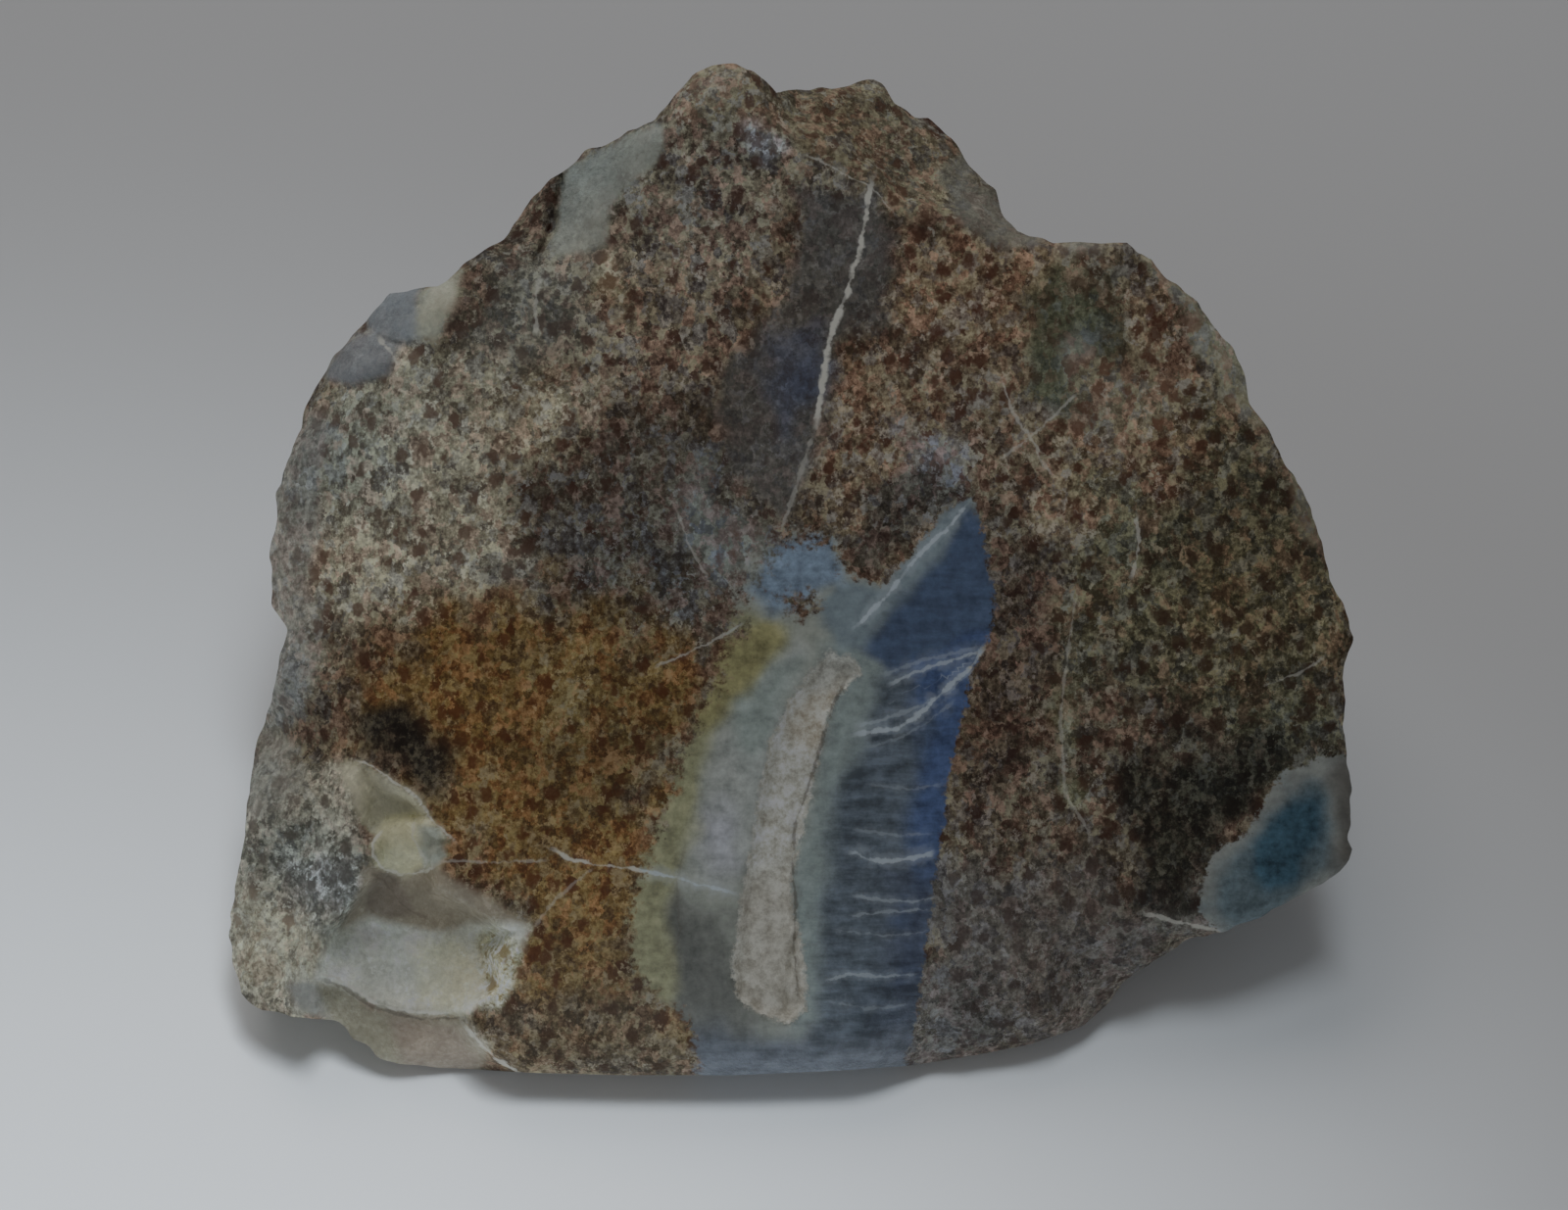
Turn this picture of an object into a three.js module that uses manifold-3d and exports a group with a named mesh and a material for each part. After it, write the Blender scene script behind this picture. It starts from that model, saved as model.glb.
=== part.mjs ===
// A rough chunk of blue-veined skarn rock. One broad face is ground smooth, the other sides are broken,
// and it rests on a flat base. Millimetres, +Z up, the origin in the middle of the base's level.
import * as THREE from 'three';
import { mergeVertices } from 'three/addons/utils/BufferGeometryUtils.js';
import Module from 'manifold-3d';

// The ground face is laid out in its own plane: p runs to the right and q up the face, both as they look
// from viewDistance straight in front of it, and w stands out of the plane towards that point.
const viewDistance = 320;
const faceElevation = THREE.MathUtils.degToRad(55);
const faceHeight = 26.5;

// How finely the surface is divided: cells along each side of the front and of the back.
const cells = 52;

// The crown of the ground face, and how it falls away towards its left side.
const crown = { height: 3.0, fallAcross: 1.0, halfWidth: 46, fallAlong: 0.6, halfHeight: 42 };
const leftShoulder = { start: -26, curve: 0.02, fadeFrom: -20, fadeTo: 0 };

// The rounding of the rim. The lower edge is worn much rounder than the broken ones, which are uneven.
const rim = { brokenRadius: 1.5, lowerRadius: 4.5, blunt: 0.12, unevenSize: 7, uneven: 0.6 };
const lowerRim = { fadeFrom: -20, fadeTo: -32, left: -26, right: 26, ease: 6 };

// The silhouette in four runs, each starting at a corner of the chunk: over the top, down the right
// side, back along the lower edge and up the left side.
const outline = {
  top: [
    [-33.8, 23.6], [-32.2, 25.4], [-28.4, 26.0], [-26.4, 27.7], [-23.0, 29.9], [-20.8, 32.5],
    [-19.2, 34.9], [-16.4, 36.7], [-12.8, 38.7], [-10.6, 39.6], [-9.0, 41.6], [-7.4, 43.2],
    [-5.0, 44.1], [-2.6, 43.8], [-1.5, 43.0], [-0.6, 41.6], [1.6, 42.1], [5.3, 42.4],
    [7.2, 42.8], [8.1, 42.5], [9.0, 41.3], [10.6, 39.9], [11.8, 39.6], [13.6, 38.0],
    [15.4, 35.6], [17.3, 34.0], [17.9, 32.1], [19.0, 30.4], [22.0, 29.6],
  ],
  right: [
    [28.0, 29.6], [28.8, 28.7], [30.1, 28.3], [31.2, 26.8], [33.2, 25.2], [35.6, 22.4],
    [37.1, 19.6], [38.2, 16.5], [39.8, 13.7], [41.8, 10.5], [43.4, 6.8], [44.5, 2.8],
    [45.4, 0.0], [46.2, -2.6], [46.0, -4.5], [45.6, -6.0], [45.8, -9.0], [46.2, -13.8],
    [46.4, -17.0], [46.2, -19.2],
  ],
  lower: [
    [46.5, -20.0], [46.2, -21.1], [44.0, -22.7], [41.4, -24.0], [38.8, -25.6], [36.0, -26.6],
    [33.2, -27.0], [31.4, -28.4], [27.6, -30.9], [26.6, -32.4], [24.4, -34.4], [20.0, -35.9],
    [16.0, -36.7], [10.4, -37.6], [4.8, -38.0], [-4.0, -38.4], [-12.8, -38.4], [-20.8, -38.2],
    [-28.8, -37.7], [-31.8, -37.4], [-33.3, -36.8], [-35.0, -35.4], [-36.4, -34.0], [-40.0, -33.5],
    [-42.6, -33.0],
  ],
  left: [
    [-44.2, -31.6], [-44.9, -29.3], [-45.3, -27.0], [-44.7, -23.0], [-44.2, -18.6], [-43.3, -14.2],
    [-42.8, -11.0], [-41.9, -7.4], [-41.0, -3.6], [-40.7, -2.0], [-41.5, 0.0], [-41.8, 3.0],
    [-41.7, 6.2], [-41.0, 10.2], [-39.8, 13.9], [-38.2, 17.6], [-36.9, 20.5], [-35.0, 22.2],
  ],
};

// Broken facets that slope away from the ground face. The facet lies to the left of the way from one
// end of its ridge to the other, falls at slope, no further than most, and fades out past the ends.
const facets = [
  { name: 'top right ledge', from: [0.4, 39.0], to: [16.0, 29.8], slope: 0.95, most: 7.0, ease: 5 },
  { name: 'top left face', from: [-16.0, 28.8], to: [-9.6, 39.4], slope: 0.5, most: 4.0, ease: 6 },
  { name: 'upper left shoulder', from: [-36.0, 14.0], to: [-24.0, 26.0], slope: 0.45, most: 4.0, ease: 6 },
  { name: 'lower left face', from: [-38.0, -31.0], to: [-34.6, -12.9], slope: 0.5, most: 6.0, ease: 6 },
  { name: 'lower right step', from: [38.0, -25.0], to: [24.0, -26.0], slope: 0.7, most: 4.0, ease: 5 },
  { name: 'grey lower bend', from: [30.4, -25.0], to: [11.2, -29.4], slope: 0.3, most: 4.0, ease: 8 },
];
const ridgeWander = { size: 5.0, reach: 0.7 };

// A chip at the lower left. Under its upper edge the floor falls into a hollow, turns out again as a pale
// shelf and drops past the shelf's lip to the rim: pairs of height up the face and depth below it. The
// lip climbs towards the left.
const chip = {
  outline: [
    [-34.6, -12.8], [-32.4, -14.2], [-30.0, -15.8], [-28.6, -17.8], [-27.0, -19.2], [-28.2, -20.8],
    [-28.0, -22.8], [-25.6, -24.0], [-23.6, -25.6], [-21.4, -26.6], [-23.4, -28.6], [-22.6, -31.4],
    [-25.3, -33.0], [-24.8, -35.6], [-21.6, -38.0], [-24.0, -42.0], [-40.0, -42.0], [-38.0, -30.6],
    [-37.6, -26.6], [-36.0, -24.2], [-33.6, -21.8], [-34.2, -18.6], [-34.7, -15.4],
  ],
  bank: 2.4,
  floor: [[-38.5, 4.2], [-34.8, 2.6], [-33.0, 1.6], [-26.6, 3.6], [-21.8, 2.0], [-17.5, 1.4], [-12.0, 0.5]],
  lipClimb: { left: -32, slope: 0.5, from: -25, to: -29 },
};

// The porous core of the blue vein has weathered a little below the ground face.
const core = {
  outline: [
    [3.4, -3.7], [5.8, -4.3], [6.4, -5.5], [4.2, -7.6], [3.4, -9.7], [2.8, -12.5],
    [1.9, -16.8], [1.0, -20.5], [0.5, -22.6], [1.0, -25.8], [1.8, -29.8], [1.8, -33.0],
    [0.5, -34.3], [-1.9, -33.5], [-3.8, -32.2], [-4.3, -29.7], [-3.7, -25.8], [-3.4, -23.0],
    [-2.7, -19.4], [-2.0, -15.2], [-1.2, -11.4], [0.0, -8.4], [1.9, -5.8],
  ],
  bank: 0.9,
  depth: 0.8,
};

// Lumps that stand out of the face around them: centre, half sizes, turn in degrees and height. A low
// edge value makes steep sides, a high one lets the lump run out gently.
const lumps = [
  { name: 'yellow nub', at: [-31.0, -19.6], half: [3.4, 2.3], turn: 10, height: 2.4, edge: 0.7 },
  { name: 'blue white lump', at: [-30.2, 24.2], half: [4.2, 2.6], turn: 15, height: 1.6, edge: 0.8 },
  { name: 'grey blue lump', at: [-34.4, 20.2], half: [3.0, 2.1], turn: 35, height: 1.1, edge: 0.8 },
  { name: 'top knob', at: [-5.5, 37.5], half: [9.5, 10.0], turn: 10, height: 1.5, edge: 1.4 },
];

// Unevenness of the ground face, and of broken stone, coarse and fine.
const groundWave = { size: 14, height: 0.15 };
const brokenWave = [{ size: 5.5, height: 0.5 }, { size: 2.6, height: 0.25 }];
const brokenFrom = 0.3;
const brokenTo = 1.8;

// Behind the rim the sides run back, a little inside the silhouette: radius at every sideStep degrees.
const sideStep = 30;
const sideRadii = [44.5, 40.0, 35.0, 40.0, 37.0, 40.0, 40.0, 47.0, 43.0, 37.5, 40.0, 44.0];
const rimBlend = 0.22;

// The back is cut by broken planes around a middle point behind the ground face: turn around the face
// from its right, tilt towards the back, both in degrees, and distance from that point.
const middleDepth = 12;
const backPlanes = [
  { name: 'underside', turn: 90, tilt: 72, distance: 25 },
  { name: 'back', turn: 85, tilt: 35, distance: 36 },
  { name: 'left back', turn: 170, tilt: 40, distance: 36 },
  { name: 'right back', turn: 10, tilt: 32, distance: 38 },
  { name: 'left top', turn: 135, tilt: 28, distance: 35 },
  { name: 'right top', turn: 50, tilt: 30, distance: 35 },
  { name: 'under right corner', turn: -35, tilt: 40, distance: 33 },
  { name: 'under left corner', turn: 205, tilt: 35, distance: 38.5 },
];
const planeSoftness = 1.2;

// Shell-shaped scars of the broken back, large and small, and its lumps.
const backScars = [{ size: 17, depth: 4.2, seed: 41 }, { size: 8, depth: 1.6, seed: 44 }];
const backWave = [{ size: 10, height: 0.9 }, { size: 4, height: 0.4 }];

// One seed for each kind of unevenness, so that they don't follow each other.
const seeds = { ridge: 11, rim: 12, ground: 21, broken: 31, back: 51 };

// The ground that the chunk is cut flat by, larger than the chunk each way.
const ground = { width: 300, depth: 100 };

const hashRange = 4294967296;
const leastFacing = 0.01;

/** A fixed number from 0 to 1 for each corner of a cubic lattice. */
function latticeValue(i, j, k, seed) {
  let hash = Math.imul(i, 0x27d4eb2d) ^ Math.imul(j, 0x165667b1);
  hash ^= Math.imul(k, 0x9e3779b1) ^ Math.imul(seed, 0x85ebca6b);
  hash = Math.imul(hash ^ (hash >>> 15), 0x2c1b3c6d);
  hash = Math.imul(hash ^ (hash >>> 12), 0x297a2d39);
  return ((hash ^ (hash >>> 15)) >>> 0) / hashRange;
}

const { lerp, clamp, smoothstep } = THREE.MathUtils;

/** A smooth wave from -1 to 1 that is the same wherever it is asked for. */
function wave(x, y, z, seed) {
  const [i, j, k] = [Math.floor(x), Math.floor(y), Math.floor(z)];
  const [a, b, c] = [smoothstep(x - i, 0, 1), smoothstep(y - j, 0, 1), smoothstep(z - k, 0, 1)];
  const level = (dk) => {
    const near = lerp(latticeValue(i, j, k + dk, seed), latticeValue(i + 1, j, k + dk, seed), a);
    const far = lerp(latticeValue(i, j + 1, k + dk, seed), latticeValue(i + 1, j + 1, k + dk, seed), a);
    return lerp(near, far, b);
  };
  return 2 * lerp(level(0), level(1), c) - 1;
}

/** Waves of several sizes added up, each with its height in millimetres. */
function waves(list, x, y, z, firstSeed) {
  return list.reduce(
    (sum, { size, height }, n) => sum + height * wave(x / size, y / size, z / size, firstSeed + n),
    0,
  );
}

/** Scars: the square of the distance to the nearest of scattered points, 0 in a scar's middle. */
function scars(x, y, z, size, seed) {
  const [i, j, k] = [Math.floor(x / size), Math.floor(y / size), Math.floor(z / size)];
  let nearest = Infinity;
  for (let di = -1; di <= 1; di += 1) {
    for (let dj = -1; dj <= 1; dj += 1) {
      for (let dk = -1; dk <= 1; dk += 1) {
        const [ci, cj, ck] = [i + di, j + dj, k + dk];
        const dx = ci + latticeValue(ci, cj, ck, seed) - x / size;
        const dy = cj + latticeValue(ci, cj, ck, seed + 1) - y / size;
        const dz = ck + latticeValue(ci, cj, ck, seed + 2) - z / size;
        nearest = Math.min(nearest, dx * dx + dy * dy + dz * dz);
      }
    }
  }
  return Math.min(nearest, 1);
}

/** Distance from a point to a closed run of points, above 0 inside it and below 0 outside. */
function insideDistance(points, p, q) {
  let nearest = Infinity;
  let inside = false;
  points.forEach(([bp, bq], n) => {
    const [ap, aq] = points[(n + points.length - 1) % points.length];
    const [dp, dq] = [bp - ap, bq - aq];
    const along = clamp(((p - ap) * dp + (q - aq) * dq) / (dp * dp + dq * dq), 0, 1);
    nearest = Math.min(nearest, Math.hypot(p - ap - along * dp, q - aq - along * dq));
    if ((aq > q) !== (bq > q) && p < ap + ((q - aq) / dq) * dp) inside = !inside;
  });
  return inside ? nearest : -nearest;
}

const sides = [outline.top, outline.right, outline.lower, outline.left];
const silhouette = sides.flat();

/** A point of the silhouette, at share (0 to 1) of the length of one of its four runs. */
function silhouettePoint(side, share) {
  const run = [...sides[side], sides[(side + 1) % 4][0]];
  const lengths = run.slice(1).map(([p, q], n) => Math.hypot(p - run[n][0], q - run[n][1]));
  let left = share * lengths.reduce((sum, length) => sum + length, 0);
  let n = 0;
  while (n < lengths.length - 1 && left > lengths[n]) {
    left -= lengths[n];
    n += 1;
  }
  const along = Math.min(left / lengths[n], 1);
  return [lerp(run[n][0], run[n + 1][0], along), lerp(run[n][1], run[n + 1][1], along)];
}

/** How far a facet has fallen below the ground face at a point of the face. */
function facetDrop(facet, p, q) {
  const [dp, dq] = [facet.to[0] - facet.from[0], facet.to[1] - facet.from[1]];
  const length = Math.hypot(dp, dq);
  const [ap, aq] = [p - facet.from[0], q - facet.from[1]];
  const wander = ridgeWander.reach * wave(p / ridgeWander.size, q / ridgeWander.size, 0, seeds.ridge);
  const beyond = (dp * aq - dq * ap) / length + wander;
  const along = (dp * ap + dq * aq) / length;
  const fade = smoothstep(along, -facet.ease, 0) * smoothstep(length - along, -facet.ease, 0);
  return Math.min(facet.slope * Math.max(beyond, 0), facet.most) * fade;
}

/** How far a lump stands out at a point of the face. */
function lumpRise(lump, p, q) {
  const turn = THREE.MathUtils.degToRad(lump.turn);
  const [dp, dq] = [p - lump.at[0], q - lump.at[1]];
  const along = (dp * Math.cos(turn) + dq * Math.sin(turn)) / lump.half[0];
  const across = (dq * Math.cos(turn) - dp * Math.sin(turn)) / lump.half[1];
  return lump.height * Math.max(0, 1 - along * along - across * across) ** lump.edge;
}

/** How far the rim has rounded down, at a distance inside the silhouette. */
function rimDrop(p, q) {
  const low = smoothstep(-q, -lowerRim.fadeFrom, -lowerRim.fadeTo)
    * smoothstep(p, lowerRim.left - lowerRim.ease, lowerRim.left)
    * (1 - smoothstep(p, lowerRim.right, lowerRim.right + lowerRim.ease));
  const ragged = 1 + rim.uneven * wave(p / rim.unevenSize, q / rim.unevenSize, 0, seeds.rim);
  const radius = lerp(rim.brokenRadius * ragged, rim.lowerRadius, low);
  const inner = Math.max(insideDistance(silhouette, p, q), 0) + rim.blunt * radius;
  const short = Math.max(1 - inner / radius, 0);
  return radius * (1 - Math.sqrt(1 - short * short));
}

/** How deep the chip's floor lies below the ground face at a point of the face. */
function chipDepth(p, q) {
  const { left, slope, from, to } = chip.lipClimb;
  const climb = slope * Math.max(left - p, 0) * smoothstep(-q, -from, -to);
  const height = clamp(q - climb, chip.floor[0][0], chip.floor.at(-1)[0]);
  const n = Math.max(chip.floor.findIndex(([top]) => top >= height), 1);
  const [[lowAt, low], [highAt, high]] = [chip.floor[n - 1], chip.floor[n]];
  const floor = lerp(low, high, (height - lowAt) / (highAt - lowAt));
  return floor * smoothstep(insideDistance(chip.outline, p, q), 0, chip.bank);
}

/** Height of the front over the layout plane at a point of the face. */
function frontHeight(p, q) {
  const fall = crown.fallAcross * (p / crown.halfWidth) ** 2
    + crown.fallAlong * (q / crown.halfHeight) ** 2;
  const shoulder = leftShoulder.curve * Math.max(leftShoulder.start - p, 0) ** 2
    * smoothstep(q, leftShoulder.fadeFrom, leftShoulder.fadeTo);
  const broken = Math.max(chipDepth(p, q), ...facets.map((facet) => facetDrop(facet, p, q)));
  const sunk = core.depth * smoothstep(insideDistance(core.outline, p, q), 0, core.bank);
  const raised = lumps.reduce((sum, lump) => sum + lumpRise(lump, p, q), 0);
  const uneven = groundWave.height * wave(p / groundWave.size, q / groundWave.size, 0, seeds.ground)
    + smoothstep(broken, brokenFrom, brokenTo) * waves(brokenWave, p, q, 0, seeds.broken);
  return crown.height - fall - shoulder - broken - sunk + raised + uneven - rimDrop(p, q);
}

/** A point of the front: the layout position, brought in with its height as it looks from in front. */
function frontPoint(p, q) {
  const w = frontHeight(p, q);
  const scale = 1 - w / viewDistance;
  return new THREE.Vector3(p * scale, q * scale, w);
}

/** Radius of the sides behind the rim in a direction around the face. */
function sideRadius(angle) {
  const step = THREE.MathUtils.euclideanModulo(THREE.MathUtils.radToDeg(angle), 360) / sideStep;
  const whole = Math.floor(step);
  const [here, next] = [sideRadii[whole % sideRadii.length], sideRadii[(whole + 1) % sideRadii.length]];
  return lerp(here, next, smoothstep(step - whole, 0, 1));
}

const middle = new THREE.Vector3(0, 0, -middleDepth);
const planeNormals = backPlanes.map(({ turn, tilt }) => {
  const [around, back] = [THREE.MathUtils.degToRad(turn), THREE.MathUtils.degToRad(tilt)];
  const level = Math.cos(back);
  return new THREE.Vector3(Math.cos(around) * level, Math.sin(around) * level, -Math.sin(back));
});

/** The lesser of two distances, rounded over where they are nearly the same. */
function softMin(a, b) {
  const near = Math.max(planeSoftness - Math.abs(a - b), 0) / planeSoftness;
  return Math.min(a, b) - (near * near * planeSoftness) / 4;
}

/** A point of the back: on the line from the middle point that has turned from the rim by share. */
function backPoint(side, share, turned) {
  const [p, q] = silhouettePoint(side, share);
  const reach = frontPoint(p, q).sub(middle);
  const angle = turned * Math.PI / 2;
  const ray = reach.clone().normalize().multiplyScalar(Math.cos(angle));
  ray.z -= Math.sin(angle);
  ray.normalize();
  const outer = lerp(Math.hypot(p, q), sideRadius(Math.atan2(q, p)), smoothstep(turned, 0, rimBlend));
  const spread = Math.hypot(ray.x, ray.y) + (outer * ray.z) / viewDistance;
  const sideReach = (outer * (1 + middleDepth / viewDistance)) / Math.max(spread, leastFacing);
  const cut = backPlanes.reduce((least, { distance }, n) => {
    const facing = planeNormals[n].dot(ray);
    return facing > leastFacing ? softMin(least, distance / facing) : least;
  }, sideReach);
  const behind = smoothstep(turned, 0, rimBlend);
  const flat = ray.clone().multiplyScalar(lerp(sideReach, cut, behind));
  const scarred = backScars.reduce((sum, { size, depth, seed }) => (
    sum + depth * (1 - scars(flat.x, flat.y, flat.z, size, seed))
  ), 0);
  const lumpy = waves(backWave, flat.x, flat.y, flat.z, seeds.back)
    + backWave.reduce((sum, { height }) => sum + height, 0);
  return flat.addScaledVector(ray, -(scarred + lumpy) * behind).add(middle);
}

/** Where a cell corner of a square grid lies: which side it faces, its share of it, and its ring. */
function gridPlace(i, j) {
  const [a, b] = [(2 * i) / cells - 1, (2 * j) / cells - 1];
  const ring = Math.max(Math.abs(a), Math.abs(b));
  if (ring === 0) return { side: 0, share: 0, ring };
  if (b === ring) return { side: 0, share: (a / ring + 1) / 2, ring };
  if (a === ring) return { side: 1, share: (1 - b / ring) / 2, ring };
  if (b === -ring) return { side: 2, share: (1 - a / ring) / 2, ring };
  return { side: 3, share: (b / ring + 1) / 2, ring };
}

/** One half of the surface as a grid of points that ends at the rim. */
function patchPoints(isFront) {
  const points = [];
  for (let j = 0; j <= cells; j += 1) {
    for (let i = 0; i <= cells; i += 1) {
      const { side, share, ring } = gridPlace(i, j);
      const [p, q] = silhouettePoint(side, share);
      points.push(isFront ? frontPoint(p * ring, q * ring) : backPoint(side, share, 1 - ring));
    }
  }
  return points;
}

/** Two triangles for each cell of a grid of points, turned to face the front or the back. */
function patchTriangles(first, isFront) {
  const triangles = [];
  for (let j = 0; j < cells; j += 1) {
    for (let i = 0; i < cells; i += 1) {
      const a = first + j * (cells + 1) + i;
      const [b, c, d] = [a + 1, a + cells + 1, a + cells + 2];
      const towardCentre = (i < cells / 2) === (j < cells / 2);
      const pair = towardCentre ? [a, b, d, a, d, c] : [a, b, c, b, d, c];
      triangles.push(...(isFront ? pair : pair.reverse()));
    }
  }
  return triangles;
}

/** The whole surface of the chunk as one closed geometry, standing as it rests. */
function chunkSurface() {
  const points = [...patchPoints(true), ...patchPoints(false)];
  const stand = new THREE.Matrix4().makeTranslation(0, 0, faceHeight)
    .multiply(new THREE.Matrix4().makeRotationX(Math.PI / 2 - faceElevation));
  points.forEach((point) => point.applyMatrix4(stand));
  const geometry = new THREE.BufferGeometry().setFromPoints(points);
  geometry.setIndex([...patchTriangles(0, true), ...patchTriangles((cells + 1) ** 2, false)]);
  return mergeVertices(geometry, 1e-4);
}

const wasm = await Module();
wasm.setup();

/** A closed geometry as a solid that can be cut. */
function solidOf(geometry) {
  return new wasm.Manifold(new wasm.Mesh({
    numProp: 3,
    vertProperties: new Float32Array(geometry.attributes.position.array),
    triVerts: new Uint32Array(geometry.index.array),
  }));
}

/** The block of ground that the base is cut flat by. */
function groundBlock() {
  const block = new THREE.BoxGeometry(ground.width, ground.width, ground.depth);
  block.translate(0, 0, -ground.depth / 2);
  block.deleteAttribute('normal');
  block.deleteAttribute('uv');
  return mergeVertices(block);
}

/** The finished stone: the surface cut flat underneath and moved over the origin. */
function chunkGeometry() {
  const { vertProperties, triVerts } = solidOf(chunkSurface()).subtract(solidOf(groundBlock())).getMesh();
  const geometry = new THREE.BufferGeometry();
  geometry.setAttribute('position', new THREE.BufferAttribute(vertProperties, 3));
  geometry.setIndex(new THREE.BufferAttribute(triVerts, 1));
  geometry.computeBoundingBox();
  const centre = geometry.boundingBox.getCenter(new THREE.Vector3());
  geometry.translate(-centre.x, -centre.y, 0);
  geometry.computeVertexNormals();
  return geometry;
}

const stone = new THREE.MeshStandardMaterial({ color: 0x6b6152, roughness: 0.6, metalness: 0 });
const chunk = new THREE.Mesh(chunkGeometry(), stone);
chunk.name = 'ternesite_chunk';

const group = new THREE.Group();
group.add(chunk);

export default group;
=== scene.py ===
"""A rough chunk of blue-veined skarn rock, ground smooth on one face and resting on its flat base.

The stone is one closed surface, worked out with numpy from the same named forms as the solid model and
with finer relief. The ground face is laid out in its own plane: p runs to the right and q up the face,
both in millimetres as they look from straight in front of it, and w stands out towards that point.
"""

import logging
import math
from dataclasses import dataclass, field
from enum import Enum, IntEnum

import bpy
import numpy as np
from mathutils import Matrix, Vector


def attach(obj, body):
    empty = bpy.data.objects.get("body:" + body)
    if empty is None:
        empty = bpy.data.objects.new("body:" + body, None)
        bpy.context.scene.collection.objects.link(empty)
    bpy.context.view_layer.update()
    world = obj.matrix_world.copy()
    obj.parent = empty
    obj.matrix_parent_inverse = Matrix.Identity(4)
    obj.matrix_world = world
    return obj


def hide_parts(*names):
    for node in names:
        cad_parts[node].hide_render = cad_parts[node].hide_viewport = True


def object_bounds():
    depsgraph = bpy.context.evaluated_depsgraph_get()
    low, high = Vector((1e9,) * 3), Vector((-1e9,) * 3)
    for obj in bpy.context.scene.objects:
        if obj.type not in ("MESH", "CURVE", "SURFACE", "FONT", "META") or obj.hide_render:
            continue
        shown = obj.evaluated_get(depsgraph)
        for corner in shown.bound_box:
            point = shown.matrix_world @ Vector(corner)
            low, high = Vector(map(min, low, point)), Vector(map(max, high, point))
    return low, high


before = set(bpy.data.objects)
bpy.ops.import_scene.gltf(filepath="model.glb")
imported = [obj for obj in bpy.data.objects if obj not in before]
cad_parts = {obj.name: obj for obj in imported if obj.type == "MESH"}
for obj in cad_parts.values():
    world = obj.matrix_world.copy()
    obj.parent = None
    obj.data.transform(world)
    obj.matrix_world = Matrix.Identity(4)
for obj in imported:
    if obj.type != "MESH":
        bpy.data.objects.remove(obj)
CAD_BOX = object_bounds()

LOG = logging.getLogger("ternesite_chunk")

MM = 0.001
VIEW_DISTANCE = 320.0
FACE_ELEVATION = math.radians(55)
FACE_HEIGHT = 26.5

# Outlines of the markings are written in the photograph's pixels.
MM_PER_PIXEL = 0.08
PICTURE_MIDDLE = (800.0, 617.5)

# The palettes note the colours as they look in dim light, and the stone is this much brighter.
BRIGHTENING = 1.45
BRIGHTEST = 0.9

# Two places on a grid that are closer than this are the same.
HAIR = 1e-9

Array = np.ndarray
Pair = tuple[float, float]
Points = list[Pair]
Run = tuple[Pair, ...]
Place = tuple[float, float, float]
Colour = tuple[float, float, float]


class Seed(IntEnum):
    """First seeds of the waves and scars, far enough apart to be used one after another."""

    RIDGE = 11
    RIM = 12
    RAGGED = 15
    GROUND = 21
    BROKEN = 31
    BACK = 51
    CHIP = 61
    PITS = 71
    CRUMBS = 81
    BACK_CRUMBS = 91
    BACK_FINE = 95
    ZONES = 200
    BRIGHTNESS = 301
    WARMTH = 311


def on_face(points: Points) -> Array:
    """Picture points as places on the ground face.

    p is the column and q the row, both counted from the picture's middle and times the scale.

    Args:
        points: Columns and rows in the picture.

    Returns:
        One row of p and q in millimetres for each point.
    """
    pixels = np.array(points, float)
    across = (pixels[:, 0] - PICTURE_MIDDLE[0]) * MM_PER_PIXEL
    up = (PICTURE_MIDDLE[1] - pixels[:, 1]) * MM_PER_PIXEL
    return np.column_stack([across, up])


def ease(value: Array, low: float, high: float) -> Array:
    """Smooth step from 0 at low to 1 at high: t squared times (3 - 2 t), with t held in 0 to 1."""
    t = np.clip((value - low) / (high - low), 0.0, 1.0)
    return t * t * (3.0 - 2.0 * t)


def lattice_value(i: Array, j: Array, k: Array, seed: int) -> Array:
    """A fixed number from 0 to 1 for each corner of a cubic lattice.

    The whole coordinates and the seed are each multiplied by a large odd number, joined by exclusive
    or, and mixed by shifts and multiplications in 32 bits.

    Args:
        i: First whole coordinate.
        j: Second whole coordinate.
        k: Third whole coordinate.
        seed: Chooses one of many such lattices.

    Returns:
        The numbers, in the shape of the coordinates.
    """
    parts = [np.asarray(n, np.int64).astype(np.uint32) for n in (i, j, k)]
    value = parts[0] * np.uint32(0x27D4EB2D) ^ parts[1] * np.uint32(0x165667B1)
    value = value ^ parts[2] * np.uint32(0x9E3779B1) ^ np.uint32(seed * 0x85EBCA6B & 0xFFFFFFFF)
    value = (value ^ (value >> np.uint32(15))) * np.uint32(0x2C1B3C6D)
    value = (value ^ (value >> np.uint32(12))) * np.uint32(0x297A2D39)
    return (value ^ (value >> np.uint32(15))) / 4294967296.0


def wave(x: Array, y: Array, z: Array, seed: int) -> Array:
    """A smooth wave from -1 to 1: lattice values blended by smooth steps within each cube.

    Args:
        x: First coordinate in cubes.
        y: Second coordinate.
        z: Third coordinate.
        seed: Seed of the lattice.

    Returns:
        The wave at each place.
    """
    x, y, z = np.broadcast_arrays(x, y, z)
    i, j, k = np.floor(x), np.floor(y), np.floor(z)
    a, b, c = ease(x - i, 0, 1), ease(y - j, 0, 1), ease(z - k, 0, 1)
    total = np.zeros_like(a)
    for di, dj, dk in np.ndindex(2, 2, 2):
        share = (a if di else 1 - a) * (b if dj else 1 - b) * (c if dk else 1 - c)
        total += share * lattice_value(i + di, j + dj, k + dk, seed)
    return 2 * total - 1


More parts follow.
